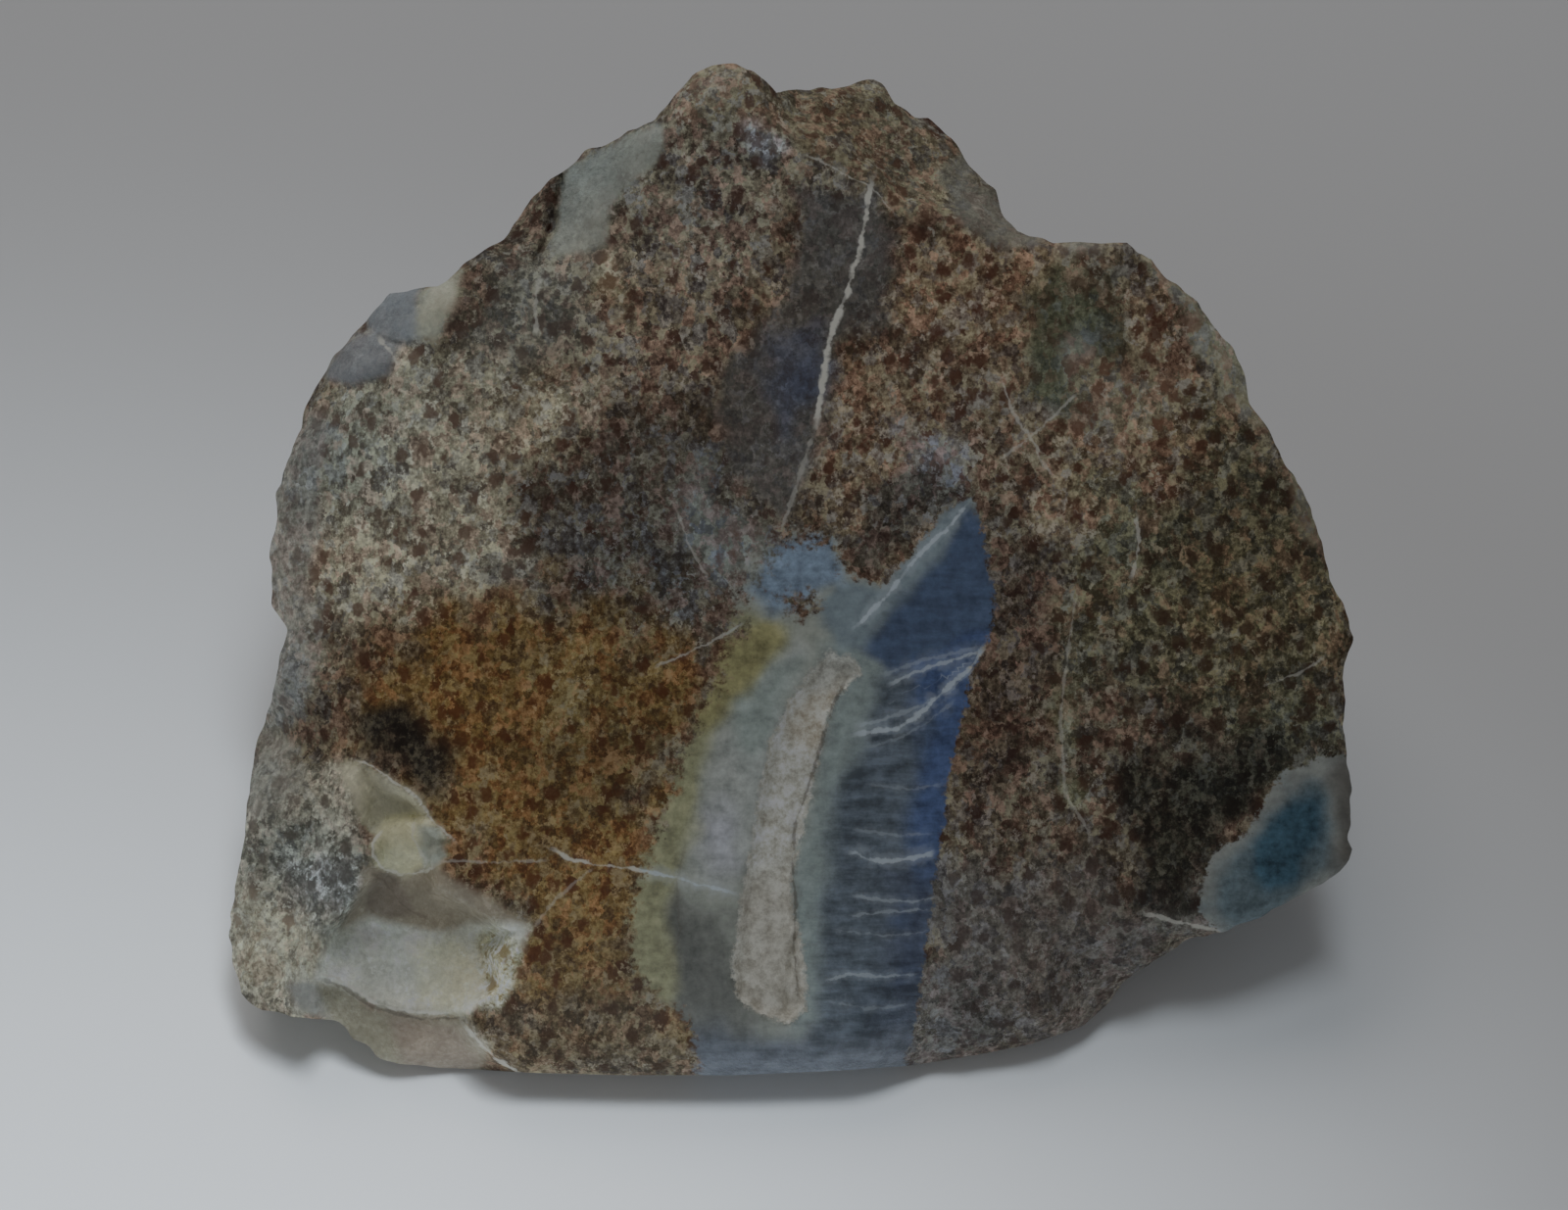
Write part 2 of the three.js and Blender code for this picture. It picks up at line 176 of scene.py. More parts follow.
def waves(sizes: Run, x: Array, y: Array, z: Array, seed: int) -> Array:
    """Waves of several sizes added up.

    Args:
        sizes: Size and height of each wave in millimetres.
        x: First coordinate in millimetres.
        y: Second coordinate.
        z: Third coordinate.
        seed: Seed of the first wave.

    Returns:
        The sum in millimetres.
    """
    return sum(h * wave(x / s, y / s, z / s, seed + n) for n, (s, h) in enumerate(sizes))


def scars(x: Array, y: Array, z: Array, size: float, seed: int) -> Array:
    """Squared distance to the nearest of scattered points, 0 in the middle of a scar and 1 at most.

    Each cube of a lattice holds one point, moved by three lattice values, and the 27 cubes around a
    place are looked through.

    Args:
        x: First coordinate in millimetres.
        y: Second coordinate.
        z: Third coordinate.
        size: Side of a cube in millimetres.
        seed: Seed of the scattered points.

    Returns:
        The squared distance in cubes.
    """
    x, y, z = (n / size for n in np.broadcast_arrays(x, y, z))
    i, j, k = np.floor(x), np.floor(y), np.floor(z)
    nearest = np.ones_like(x)
    for di, dj, dk in np.ndindex(3, 3, 3):
        ci, cj, ck = i + di - 1, j + dj - 1, k + dk - 1
        away = (ci + lattice_value(ci, cj, ck, seed) - x) ** 2
        away += (cj + lattice_value(ci, cj, ck, seed + 1) - y) ** 2
        away += (ck + lattice_value(ci, cj, ck, seed + 2) - z) ** 2
        nearest = np.minimum(nearest, away)
    return nearest


def dents(sizes: Run, x: Array, y: Array, z: Array, seed: int) -> Array:
    """Round dents of several sizes added up: each depth times (1 - squared distance), all from one seed.

    Args:
        sizes: Size and depth of each kind of dent in millimetres.
        x: First coordinate in millimetres.
        y: Second coordinate.
        z: Third coordinate.
        seed: Seed of the scattered dents.

    Returns:
        The depth in millimetres.
    """
    return sum(depth * (1 - scars(x, y, z, size, seed)) for size, depth in sizes)


def inside_distance(outline: Array, p: Array, q: Array) -> Array:
    """Distance to a closed run of points, above 0 inside it and below 0 outside.

    The nearest point of every straight piece is found, and a place is inside where a level line to
    its right crosses the run an odd number of times.

    Args:
        outline: Corners as rows of p and q.
        p: Places across.
        q: Places up.

    Returns:
        The signed distance in millimetres.
    """
    nearest = np.full(np.shape(p), np.inf)
    inside = np.zeros(np.shape(p), bool)
    for (ap, aq), (bp, bq) in zip(np.roll(outline, 1, axis=0), outline):
        dp, dq = bp - ap, bq - aq
        along = np.clip(((p - ap) * dp + (q - aq) * dq) / (dp * dp + dq * dq), 0, 1)
        nearest = np.minimum(nearest, (p - ap - along * dp) ** 2 + (q - aq - along * dq) ** 2)
        if dq != 0:
            inside ^= ((aq > q) != (bq > q)) & (p < ap + (q - aq) / dq * dp)
    return np.where(inside, 1.0, -1.0) * np.sqrt(nearest)


def beside_line(line: Array, p: Array, q: Array) -> tuple[Array, Array]:
    """Signed distance beside an open run of points, and how far along it the nearest point is.

    The distance is to the nearest straight piece, above 0 on its left. The share along is the length
    up to the nearest point over the whole length.

    Args:
        line: Points as rows of p and q.
        p: Places across.
        q: Places up.

    Returns:
        The distance in millimetres, and the share from 0 to 1.
    """
    steps = np.diff(line, axis=0)
    lengths = np.hypot(steps[:, 0], steps[:, 1])
    begun = np.concatenate([[0.0], np.cumsum(lengths)])
    nearest = np.full(np.shape(p), np.inf)
    side = np.zeros(np.shape(p))
    share = np.zeros(np.shape(p))
    for n, (dp, dq) in enumerate(steps):
        ap, aq = p - line[n, 0], q - line[n, 1]
        along = np.clip((ap * dp + aq * dq) / lengths[n] ** 2, 0, 1)
        away = np.hypot(ap - along * dp, aq - along * dq)
        closer = away < nearest
        nearest = np.where(closer, away, nearest)
        side = np.where(closer, np.where(dp * aq - dq * ap < 0, -1.0, 1.0), side)
        share = np.where(closer, (begun[n] + along * lengths[n]) / begun[-1], share)
    return nearest * side, share


@dataclass(frozen=True)
class Facet:
    """A broken facet that slopes away on the left of the way from one end of its ridge to the other."""

    start: Pair
    end: Pair
    slope: float
    most: float
    ends: float

    def drop(self, p: Array, q: Array, wander: Array) -> Array:
        """How far the facet has fallen below the ground face.

        The distance beyond the ridge, plus a wander, times the slope, held between 0 and the most,
        and faded out past both ends of the ridge.

        Args:
            p: Places across.
            q: Places up.
            wander: How far the ridge wanders at each place.

        Returns:
            The drop in millimetres.
        """
        dp, dq = self.end[0] - self.start[0], self.end[1] - self.start[1]
        length = math.hypot(dp, dq)
        ap, aq = p - self.start[0], q - self.start[1]
        beyond = (dp * aq - dq * ap) / length + wander
        along = (dp * ap + dq * aq) / length
        fade = ease(along, -self.ends, 0) * ease(length - along, -self.ends, 0)
        return np.clip(self.slope * beyond, 0, self.most) * fade


@dataclass(frozen=True)
class Lump:
    """A lump that stands out of the face. A low edge value makes steep sides."""

    at: Pair
    half: Pair
    turn: float
    height: float
    edge: float

    def rise(self, p: Array, q: Array) -> Array:
        """Height times (1 - r squared) to the power of edge, with r 1 on the turned ellipse.

        Args:
            p: Places across.
            q: Places up.

        Returns:
            The rise in millimetres.
        """
        turn = math.radians(self.turn)
        dp, dq = p - self.at[0], q - self.at[1]
        along = (dp * math.cos(turn) + dq * math.sin(turn)) / self.half[0]
        across = (dq * math.cos(turn) - dp * math.sin(turn)) / self.half[1]
        return self.height * np.maximum(0, 1 - along**2 - across**2) ** self.edge


@dataclass(frozen=True)
class Groove:
    """A crack or furrow along a run of picture points. A depth below 0 makes a raised ridge."""

    line: Points
    half_width: float
    depth: float
    end_share: float = 0.35

    def drop(self, p: Array, q: Array) -> Array:
        """Depth times (1 - (distance over half width) squared) squared, and narrow towards both ends.

        Args:
            p: Places across.
            q: Places up.

        Returns:
            The drop in millimetres.
        """
        beside, share = beside_line(on_face(self.line), p, q)
        full = np.sqrt(np.clip(4 * share * (1 - share), 0, 1))
        width = self.half_width * (self.end_share + (1 - self.end_share) * full)
        return self.depth * np.maximum(0, 1 - (beside / width) ** 2) ** 2


@dataclass(frozen=True)
class BackPlane:
    """A broken plane of the back, turned around the face from its right and tilted to the back."""

    turn: float
    tilt: float
    distance: float

    def normal(self) -> Array:
        """Direction in which the plane faces."""
        turn, tilt = math.radians(self.turn), math.radians(self.tilt)
        level = math.cos(tilt)
        return np.array([math.cos(turn) * level, math.sin(turn) * level, -math.sin(tilt)])


@dataclass(frozen=True)
class StoneForm:
    """Every form of the stone's surface, in millimetres."""

    crown_height: float = 3.0
    crown_fall_across: float = 1.0
    crown_half_width: float = 46.0
    crown_fall_along: float = 0.6
    crown_half_height: float = 42.0
    shoulder_start: float = -26.0
    shoulder_curve: float = 0.02
    shoulder_fade: Pair = (-20.0, 0.0)
    broken_rim_radius: float = 1.5
    lower_rim_radius: float = 4.5
    rim_blunt: float = 0.12
    low_rim_fade: Pair = (20.0, 32.0)
    low_rim_ends: Pair = (-26.0, 26.0)
    low_rim_ease: float = 6.0
    rim_waves: Run = ((7.0, 0.6),)
    ragged: Run = ((2.3, 0.24), (1.0, 0.16))
    top: Run = (
        (-33.8, 23.6), (-32.2, 25.4), (-28.4, 26.0), (-26.4, 27.7), (-23.0, 29.9), (-20.8, 32.5),
        (-19.2, 34.9), (-16.4, 36.7), (-12.8, 38.7), (-10.6, 39.6), (-9.0, 41.6), (-7.4, 43.2),
        (-5.0, 44.1), (-2.6, 43.8), (-1.5, 43.0), (-0.6, 41.6), (1.6, 42.1), (5.3, 42.4),
        (7.2, 42.8), (8.1, 42.5), (9.0, 41.3), (10.6, 39.9), (11.8, 39.6), (13.6, 38.0),
        (15.4, 35.6), (17.3, 34.0), (17.9, 32.1), (19.0, 30.4), (22.0, 29.6),
    )
    right: Run = (
        (28.0, 29.6), (28.8, 28.7), (30.1, 28.3), (31.2, 26.8), (33.2, 25.2), (35.6, 22.4),
        (37.1, 19.6), (38.2, 16.5), (39.8, 13.7), (41.8, 10.5), (43.4, 6.8), (44.5, 2.8),
        (45.4, 0.0), (46.2, -2.6), (46.0, -4.5), (45.6, -6.0), (45.8, -9.0), (46.2, -13.8),
        (46.4, -17.0), (46.2, -19.2),
    )
    lower: Run = (
        (46.5, -20.0), (46.2, -21.1), (44.0, -22.7), (41.4, -24.0), (38.8, -25.6), (36.0, -26.6),
        (33.2, -27.0), (31.4, -28.4), (27.6, -30.9), (26.6, -32.4), (24.4, -34.4), (20.0, -35.9),
        (16.0, -36.7), (10.4, -37.6), (4.8, -38.0), (-4.0, -38.4), (-12.8, -38.4), (-20.8, -38.2),
        (-28.8, -37.7), (-31.8, -37.4), (-33.3, -36.8), (-35.0, -35.4), (-36.4, -34.0), (-40.0, -33.5),
        (-42.6, -33.0),
    )
    left: Run = (
        (-44.2, -31.6), (-44.9, -29.3), (-45.3, -27.0), (-44.7, -23.0), (-44.2, -18.6), (-43.3, -14.2),
        (-42.8, -11.0), (-41.9, -7.4), (-41.0, -3.6), (-40.7, -2.0), (-41.5, 0.0), (-41.8, 3.0),
        (-41.7, 6.2), (-41.0, 10.2), (-39.8, 13.9), (-38.2, 17.6), (-36.9, 20.5), (-35.0, 22.2),
    )
    facets: tuple[Facet, ...] = (
        Facet((0.4, 39.0), (16.0, 29.8), slope=0.95, most=7.0, ends=5),
        Facet((-16.0, 28.8), (-9.6, 39.4), slope=0.5, most=4.0, ends=6),
        Facet((-36.0, 14.0), (-24.0, 26.0), slope=0.45, most=4.0, ends=6),
        Facet((-38.0, -31.0), (-34.6, -12.9), slope=0.5, most=6.0, ends=6),
        Facet((38.0, -25.0), (24.0, -26.0), slope=0.7, most=4.0, ends=5),
        Facet((30.4, -25.0), (11.2, -29.4), slope=0.3, most=4.0, ends=8),
    )
    ridge_wander: Run = ((5.0, 0.7), (1.6, 0.25))
    chip_outline: Run = (
        (-34.6, -12.8), (-32.4, -14.2), (-30.0, -15.8), (-28.6, -17.8), (-27.0, -19.2), (-28.2, -20.8),
        (-28.0, -22.8), (-25.6, -24.0), (-23.6, -25.6), (-21.4, -26.6), (-23.4, -28.6), (-22.6, -31.4),
        (-25.3, -33.0), (-24.8, -35.6), (-21.6, -38.0), (-24.0, -42.0), (-40.0, -42.0), (-38.0, -30.6),
        (-37.6, -26.6), (-36.0, -24.2), (-33.6, -21.8), (-34.2, -18.6), (-34.7, -15.4),
    )
    chip_bank: float = 1.3
    chip_edge: Pair = (-0.4, 0.8)
    chip_wander: Run = ((1.9, 0.35),)
    chip_smoothness: float = 0.7
    chip_floor: Run = (
        (-38.5, 4.4), (-34.8, 2.6), (-33.0, 1.5), (-26.6, 4.0), (-21.8, 2.0), (-17.5, 1.4), (-12.0, 0.5),
    )
    lip_left: float = -32.0
    lip_slope: float = 0.5
    lip_fade: Pair = (25.0, 29.0)
    core_outline: Run = (
        (3.4, -3.7), (5.8, -4.3), (6.4, -5.5), (4.2, -7.6), (3.4, -9.7), (2.8, -12.5),
        (1.9, -16.8), (1.0, -20.5), (0.5, -22.6), (1.0, -25.8), (1.8, -29.8), (1.8, -33.0),
        (0.5, -34.3), (-1.9, -33.5), (-3.8, -32.2), (-4.3, -29.7), (-3.7, -25.8), (-3.4, -23.0),
        (-2.7, -19.4), (-2.0, -15.2), (-1.2, -11.4), (0.0, -8.4), (1.9, -5.8),
    )
    core_bank: float = 0.7
    core_depth: float = 0.55
    core_pits: Run = ((0.8, 0.12), (1.7, 0.22))
    lumps: tuple[Lump, ...] = (
        Lump((-31.0, -19.6), (3.4, 2.3), turn=10, height=2.4, edge=0.7),
        Lump((-30.2, 24.2), (4.2, 2.6), turn=15, height=1.6, edge=0.8),
        Lump((-34.4, 20.2), (3.0, 2.1), turn=35, height=1.1, edge=0.8),
        Lump((-5.5, 37.5), (9.5, 10.0), turn=10, height=1.5, edge=1.4),
    )
    grooves: tuple[Groove, ...] = (
        Groove([(870, 690), (853, 710), (842, 739), (832, 790), (817, 846), (806, 889), (810, 921),
                (814, 953), (806, 985), (803, 1035)], half_width=0.4, depth=0.5),
        Groove([(575, 180), (568, 215), (560, 240), (545, 268)], half_width=0.6, depth=0.7),
        Groove([(366, 777), (395, 794), (425, 815), (442, 840), (465, 858)], half_width=0.5, depth=-0.3),
    )
    ground_wave: Run = ((14.0, 0.15),)
    rough_from: Pair = (0.3, 1.8)
    broken_wave: Run = ((5.5, 0.5), (2.6, 0.25), (1.3, 0.16), (0.8, 0.10))
    crumbs: Run = ((3.4, 0.55), (1.6, 0.3))
    side_step: float = 30.0
    side_radii: tuple[float, ...] = (
        44.5, 40.0, 35.0, 40.0, 37.0, 40.0, 40.0, 47.0, 43.0, 37.5, 40.0, 44.0,
    )
    rim_blend: float = 0.22
    fine_blend: float = 0.12
    middle_depth: float = 12.0
    back_planes: tuple[BackPlane, ...] = (
        BackPlane(turn=90, tilt=72, distance=25),
        BackPlane(turn=85, tilt=35, distance=36),
        BackPlane(turn=170, tilt=40, distance=36),
        BackPlane(turn=10, tilt=32, distance=38),
        BackPlane(turn=135, tilt=28, distance=35),
        BackPlane(turn=50, tilt=30, distance=35),
        BackPlane(turn=-35, tilt=40, distance=33),
        BackPlane(turn=205, tilt=35, distance=38.5),
    )
    plane_softness: float = 1.2
    least_facing: float = 0.01
    least_fall: float = 0.001
    back_scars: tuple[tuple[float, float, int], ...] = ((17.0, 4.2, 41), (8.0, 1.6, 44))
    back_wave: Run = ((10.0, 0.9), (4.0, 0.4))
    back_crumbs: Run = ((3.6, 0.5), (1.7, 0.32))
    back_fine: Run = ((1.3, 0.16), (0.8, 0.1))

    def outline(self) -> Array:
        """The whole silhouette as rows of p and q."""
        return np.array(self.top + self.right + self.lower + self.left)

    def silhouette(self, side: Array, share: Array) -> tuple[Array, Array]:
        """Points of the silhouette.

        Each of the four runs is walked by its length: the share times the run's length is looked up
        among the lengths up to each corner. A fine wave then moves broken edges out and in.

        Args:
            side: Which run, 0 to 3, from the top round to the right.
            share: How much of the run's length is walked.

        Returns:
            The places across and up.
        """
        runs = [np.array(run) for run in (self.top, self.right, self.lower, self.left)]
        p, q = np.zeros(side.shape), np.zeros(side.shape)
        for n, run in enumerate(runs):
            closed = np.vstack([run, runs[(n + 1) % 4][:1]])
            steps = np.hypot(*np.diff(closed, axis=0).T)
            walked = np.concatenate([[0.0], np.cumsum(steps)])
            mine = side == n
            p[mine] = np.interp(share[mine] * walked[-1], walked, closed[:, 0])
            q[mine] = np.interp(share[mine] * walked[-1], walked, closed[:, 1])
        worn = waves(self.ragged, p, q, 0 * p, Seed.RAGGED) * (1 - self.low_rim(p, q))
        grown = 1 + worn / np.maximum(np.hypot(p, q), 1.0)
        return p * grown, q * grown

    def low_rim(self, p: Array, q: Array) -> Array:
        """1 along the worn lower rim and 0 elsewhere: a product of smooth steps across and up."""
        left, right = self.low_rim_ends
        within = ease(p, left - self.low_rim_ease, left) * (1 - ease(p, right, right + self.low_rim_ease))
        return ease(-q, *self.low_rim_fade) * within

    def rim_drop(self, p: Array, q: Array) -> Array:
        """How far the rim has rounded down: a quarter circle of the rim's radius, a little blunt.

        The radius is the lower rim's near the bottom edge, and elsewhere the broken rim's, which
        varies by a wave.

        Args:
            p: Places across.
            q: Places up.

        Returns:
            The drop in millimetres.
        """
        low = self.low_rim(p, q)
        ragged = 1 + waves(self.rim_waves, p, q, 0 * p, Seed.RIM)
        radius = self.broken_rim_radius * ragged * (1 - low) + self.lower_rim_radius * low
        inner = np.maximum(inside_distance(self.outline(), p, q), 0) + self.rim_blunt * radius
        short = np.maximum(1 - inner / radius, 0)
        return radius * (1 - np.sqrt(1 - short * short))

    def chip_depth(self, p: Array, q: Array) -> Array:
        """Depth of the chip: its floor's depth by height up the face, eased in from its outline.

        The floor's lip climbs to the left, so the height is first lowered by that climb.

        Args:
            p: Places across.
            q: Places up.

        Returns:
            The depth in millimetres.
        """
        climb = self.lip_slope * np.maximum(self.lip_left - p, 0) * ease(-q, *self.lip_fade)
        floor = np.array(self.chip_floor)
        depth = np.interp(q - climb, floor[:, 0], floor[:, 1])
        wander = waves(self.chip_wander, p, q, 0 * p, Seed.CHIP)
        return depth * ease(inside_distance(np.array(self.chip_outline), p, q) + wander, 0, self.chip_bank)

    def broken_depth(self, p: Array, q: Array) -> Array:
        """How far the broken facets and the chip lie below the ground face.

        Args:
            p: Places across.
            q: Places up.

        Returns:
            The greatest of their drops in millimetres.
        """
        wander = waves(self.ridge_wander, p, q, 0 * p, Seed.RIDGE)
        drops = [facet.drop(p, q, wander) for facet in self.facets]
        return np.maximum.reduce([self.chip_depth(p, q), *drops])

    def front_height(self, p: Array, q: Array) -> Array:
        """Height of the front over the layout plane.

        The crown, less its falls with the squares of p and q, the left shoulder, the broken depth,
        the worn core with its pits and the rounded rim, plus the lumps and the unevenness. Broken
        stone is rough, ground stone nearly flat.

        Args:
            p: Places across.
            q: Places up.

        Returns:
            The height in millimetres.
        """
        fall = self.crown_fall_across * (p / self.crown_half_width) ** 2
        fall = fall + self.crown_fall_along * (q / self.crown_half_height) ** 2
        shoulder = self.shoulder_curve * np.maximum(self.shoulder_start - p, 0) ** 2
        shoulder = shoulder * ease(q, *self.shoulder_fade)
        broken = self.broken_depth(p, q)
        chip = ease(inside_distance(np.array(self.chip_outline), p, q), *self.chip_edge)
        rough = ease(broken, *self.rough_from)
        core = ease(inside_distance(np.array(self.core_outline), p, q), 0, self.core_bank)
        pits = dents(self.core_pits, p, q, 0 * p, Seed.PITS)
        raised = sum(lump.rise(p, q) for lump in self.lumps)
        cracked = sum(groove.drop(p, q) for groove in self.grooves)
        crumbs = dents(self.crumbs, p, q, 0 * p, Seed.CRUMBS)
        broken_wave = waves(self.broken_wave, p, q, 0 * p, Seed.BROKEN)
        uneven = waves(self.ground_wave, p, q, 0 * p, Seed.GROUND)
        uneven = uneven + rough * (1 - self.chip_smoothness * chip) * (broken_wave - crumbs)
        sunk = core * (self.core_depth + pits)
        lowered = fall + shoulder + broken + sunk + cracked + self.rim_drop(p, q)
        return self.crown_height - lowered + raised + uneven

    def front_point(self, p: Array, q: Array) -> Array:
        """Front points: the place brought in by (1 - w / view distance), and its height w.

        Args:
            p: Places across.
            q: Places up.

        Returns:
            Rows of u, v and w in millimetres.
        """
        w = self.front_height(p, q)
        scale = 1 - w / VIEW_DISTANCE
        return np.column_stack([p * scale, q * scale, w])

    def side_radius(self, angle: Array) -> Array:
        """Radius of the sides behind the rim: the listed radii, blended by smooth steps.

        Args:
            angle: Direction around the face in radians.

        Returns:
            The radius in millimetres.
        """
        radii = np.array(self.side_radii)
        step = np.mod(np.degrees(angle), 360) / self.side_step
        whole = np.floor(step).astype(int)
        here, after = radii[whole % len(radii)], radii[(whole + 1) % len(radii)]
        return here + (after - here) * ease(step - whole, 0, 1)

    def soft_min(self, a: Array, b: Array) -> Array:
        """The lesser of two distances, less (softness - difference) squared / 4 softness near a tie."""
        near = np.maximum(self.plane_softness - np.abs(a - b), 0) / self.plane_softness
        return np.minimum(a, b) - near * near * self.plane_softness / 4

    def back_point(self, side: Array, share: Array, turned: Array) -> Array:
        """Back points on rays from the middle point behind the ground face.

        A ray turns from the rim to straight back. Its length is the cone of the silhouette at first
        and then the nearest back plane, less scars, lumps and crumbs, and no further than the ground.

        Args:
            side: Which run of the silhouette the ray starts from.
            share: Its share of that run.
            turned: How far it has turned, 0 at the rim and 1 straight back.

        Returns:
            Rows of u, v and w in millimetres.
        """
        p, q = self.silhouette(side, share)
        middle = np.array([0.0, 0.0, -self.middle_depth])
        reach = self.front_point(p, q) - middle
        angle = turned * math.pi / 2
        ray = reach / np.linalg.norm(reach, axis=1)[:, None] * np.cos(angle)[:, None]
        ray[:, 2] -= np.sin(angle)
        ray /= np.linalg.norm(ray, axis=1)[:, None]
        behind = ease(turned, 0, self.rim_blend)
        radius = np.hypot(p, q)
        outer = radius + (self.side_radius(np.arctan2(q, p)) - radius) * behind
        spread = np.hypot(ray[:, 0], ray[:, 1]) + outer * ray[:, 2] / VIEW_DISTANCE
        side_reach = outer * (1 + self.middle_depth / VIEW_DISTANCE) / np.maximum(spread, self.least_facing)
        cut = side_reach
        for plane in self.back_planes:
            facing = ray @ plane.normal()
            length = plane.distance / np.maximum(facing, self.least_facing)
            cut = np.where(facing > self.least_facing, self.soft_min(cut, length), cut)
        flat = ray * (side_reach + (cut - side_reach) * behind)[:, None]
        x, y, z = flat.T
        worn = sum(depth * (1 - scars(x, y, z, size, seed)) for size, depth, seed in self.back_scars)
        worn = worn + waves(self.back_wave, x, y, z, Seed.BACK)
        worn = worn + sum(height for _, height in self.back_wave)
        fine = dents(self.back_crumbs, x, y, z, Seed.BACK_CRUMBS)
        fine = fine + waves(self.back_fine, x, y, z, Seed.BACK_FINE)
        length = np.linalg.norm(flat, axis=1) - worn * behind - fine * ease(turned, 0, self.fine_blend)
        fall = ray[:, 1] * math.cos(FACE_ELEVATION) + ray[:, 2] * math.sin(FACE_ELEVATION)
        above = FACE_HEIGHT - self.middle_depth * math.sin(FACE_ELEVATION)
        landed = np.minimum(length, above / np.maximum(-fall, self.least_fall))
        length = np.where(fall < -self.least_fall, landed, length)
        return ray * length[:, None] + middle


@dataclass(frozen=True)
class Palette:
    """The dark, middle and light colours of granular stone, and how strongly its grains differ."""

    dark: Colour
    middle: Colour
    light: Colour
    grain: float = 1.0
    hue: float = 1.0


# Size and share of the waves by which a zone's border wanders.
ZONE_WANDER: Run = ((3.1, 1.0), (1.3, 0.5))


@dataclass(frozen=True)
class Zone:
    """Part of the ground face with colours of its own, given by an outline in picture pixels."""

    name: str
    outline: Points
    palette: Palette
    soft: float = 2.0
    wander: float = 1.0
    strength: float = 1.0

    def weight(self, p: Array, q: Array, seed: int) -> Array:
        """Strength times a smooth step of the distance inside the outline plus a wandering wave.

        Args:
            p: Places across.
            q: Places up.
            seed: Seed of the wander.

        Returns:
            The weight from 0 to 1.
        """
        drift = self.wander * waves(ZONE_WANDER, p, q, 0 * p, seed)
        inside = inside_distance(on_face(self.outline), p, q) + drift
        return self.strength * ease(inside, -self.soft / 2, self.soft / 2)


MATRIX = Palette((0.045, 0.029, 0.020), (0.13, 0.10, 0.076), (0.27, 0.23, 0.18))

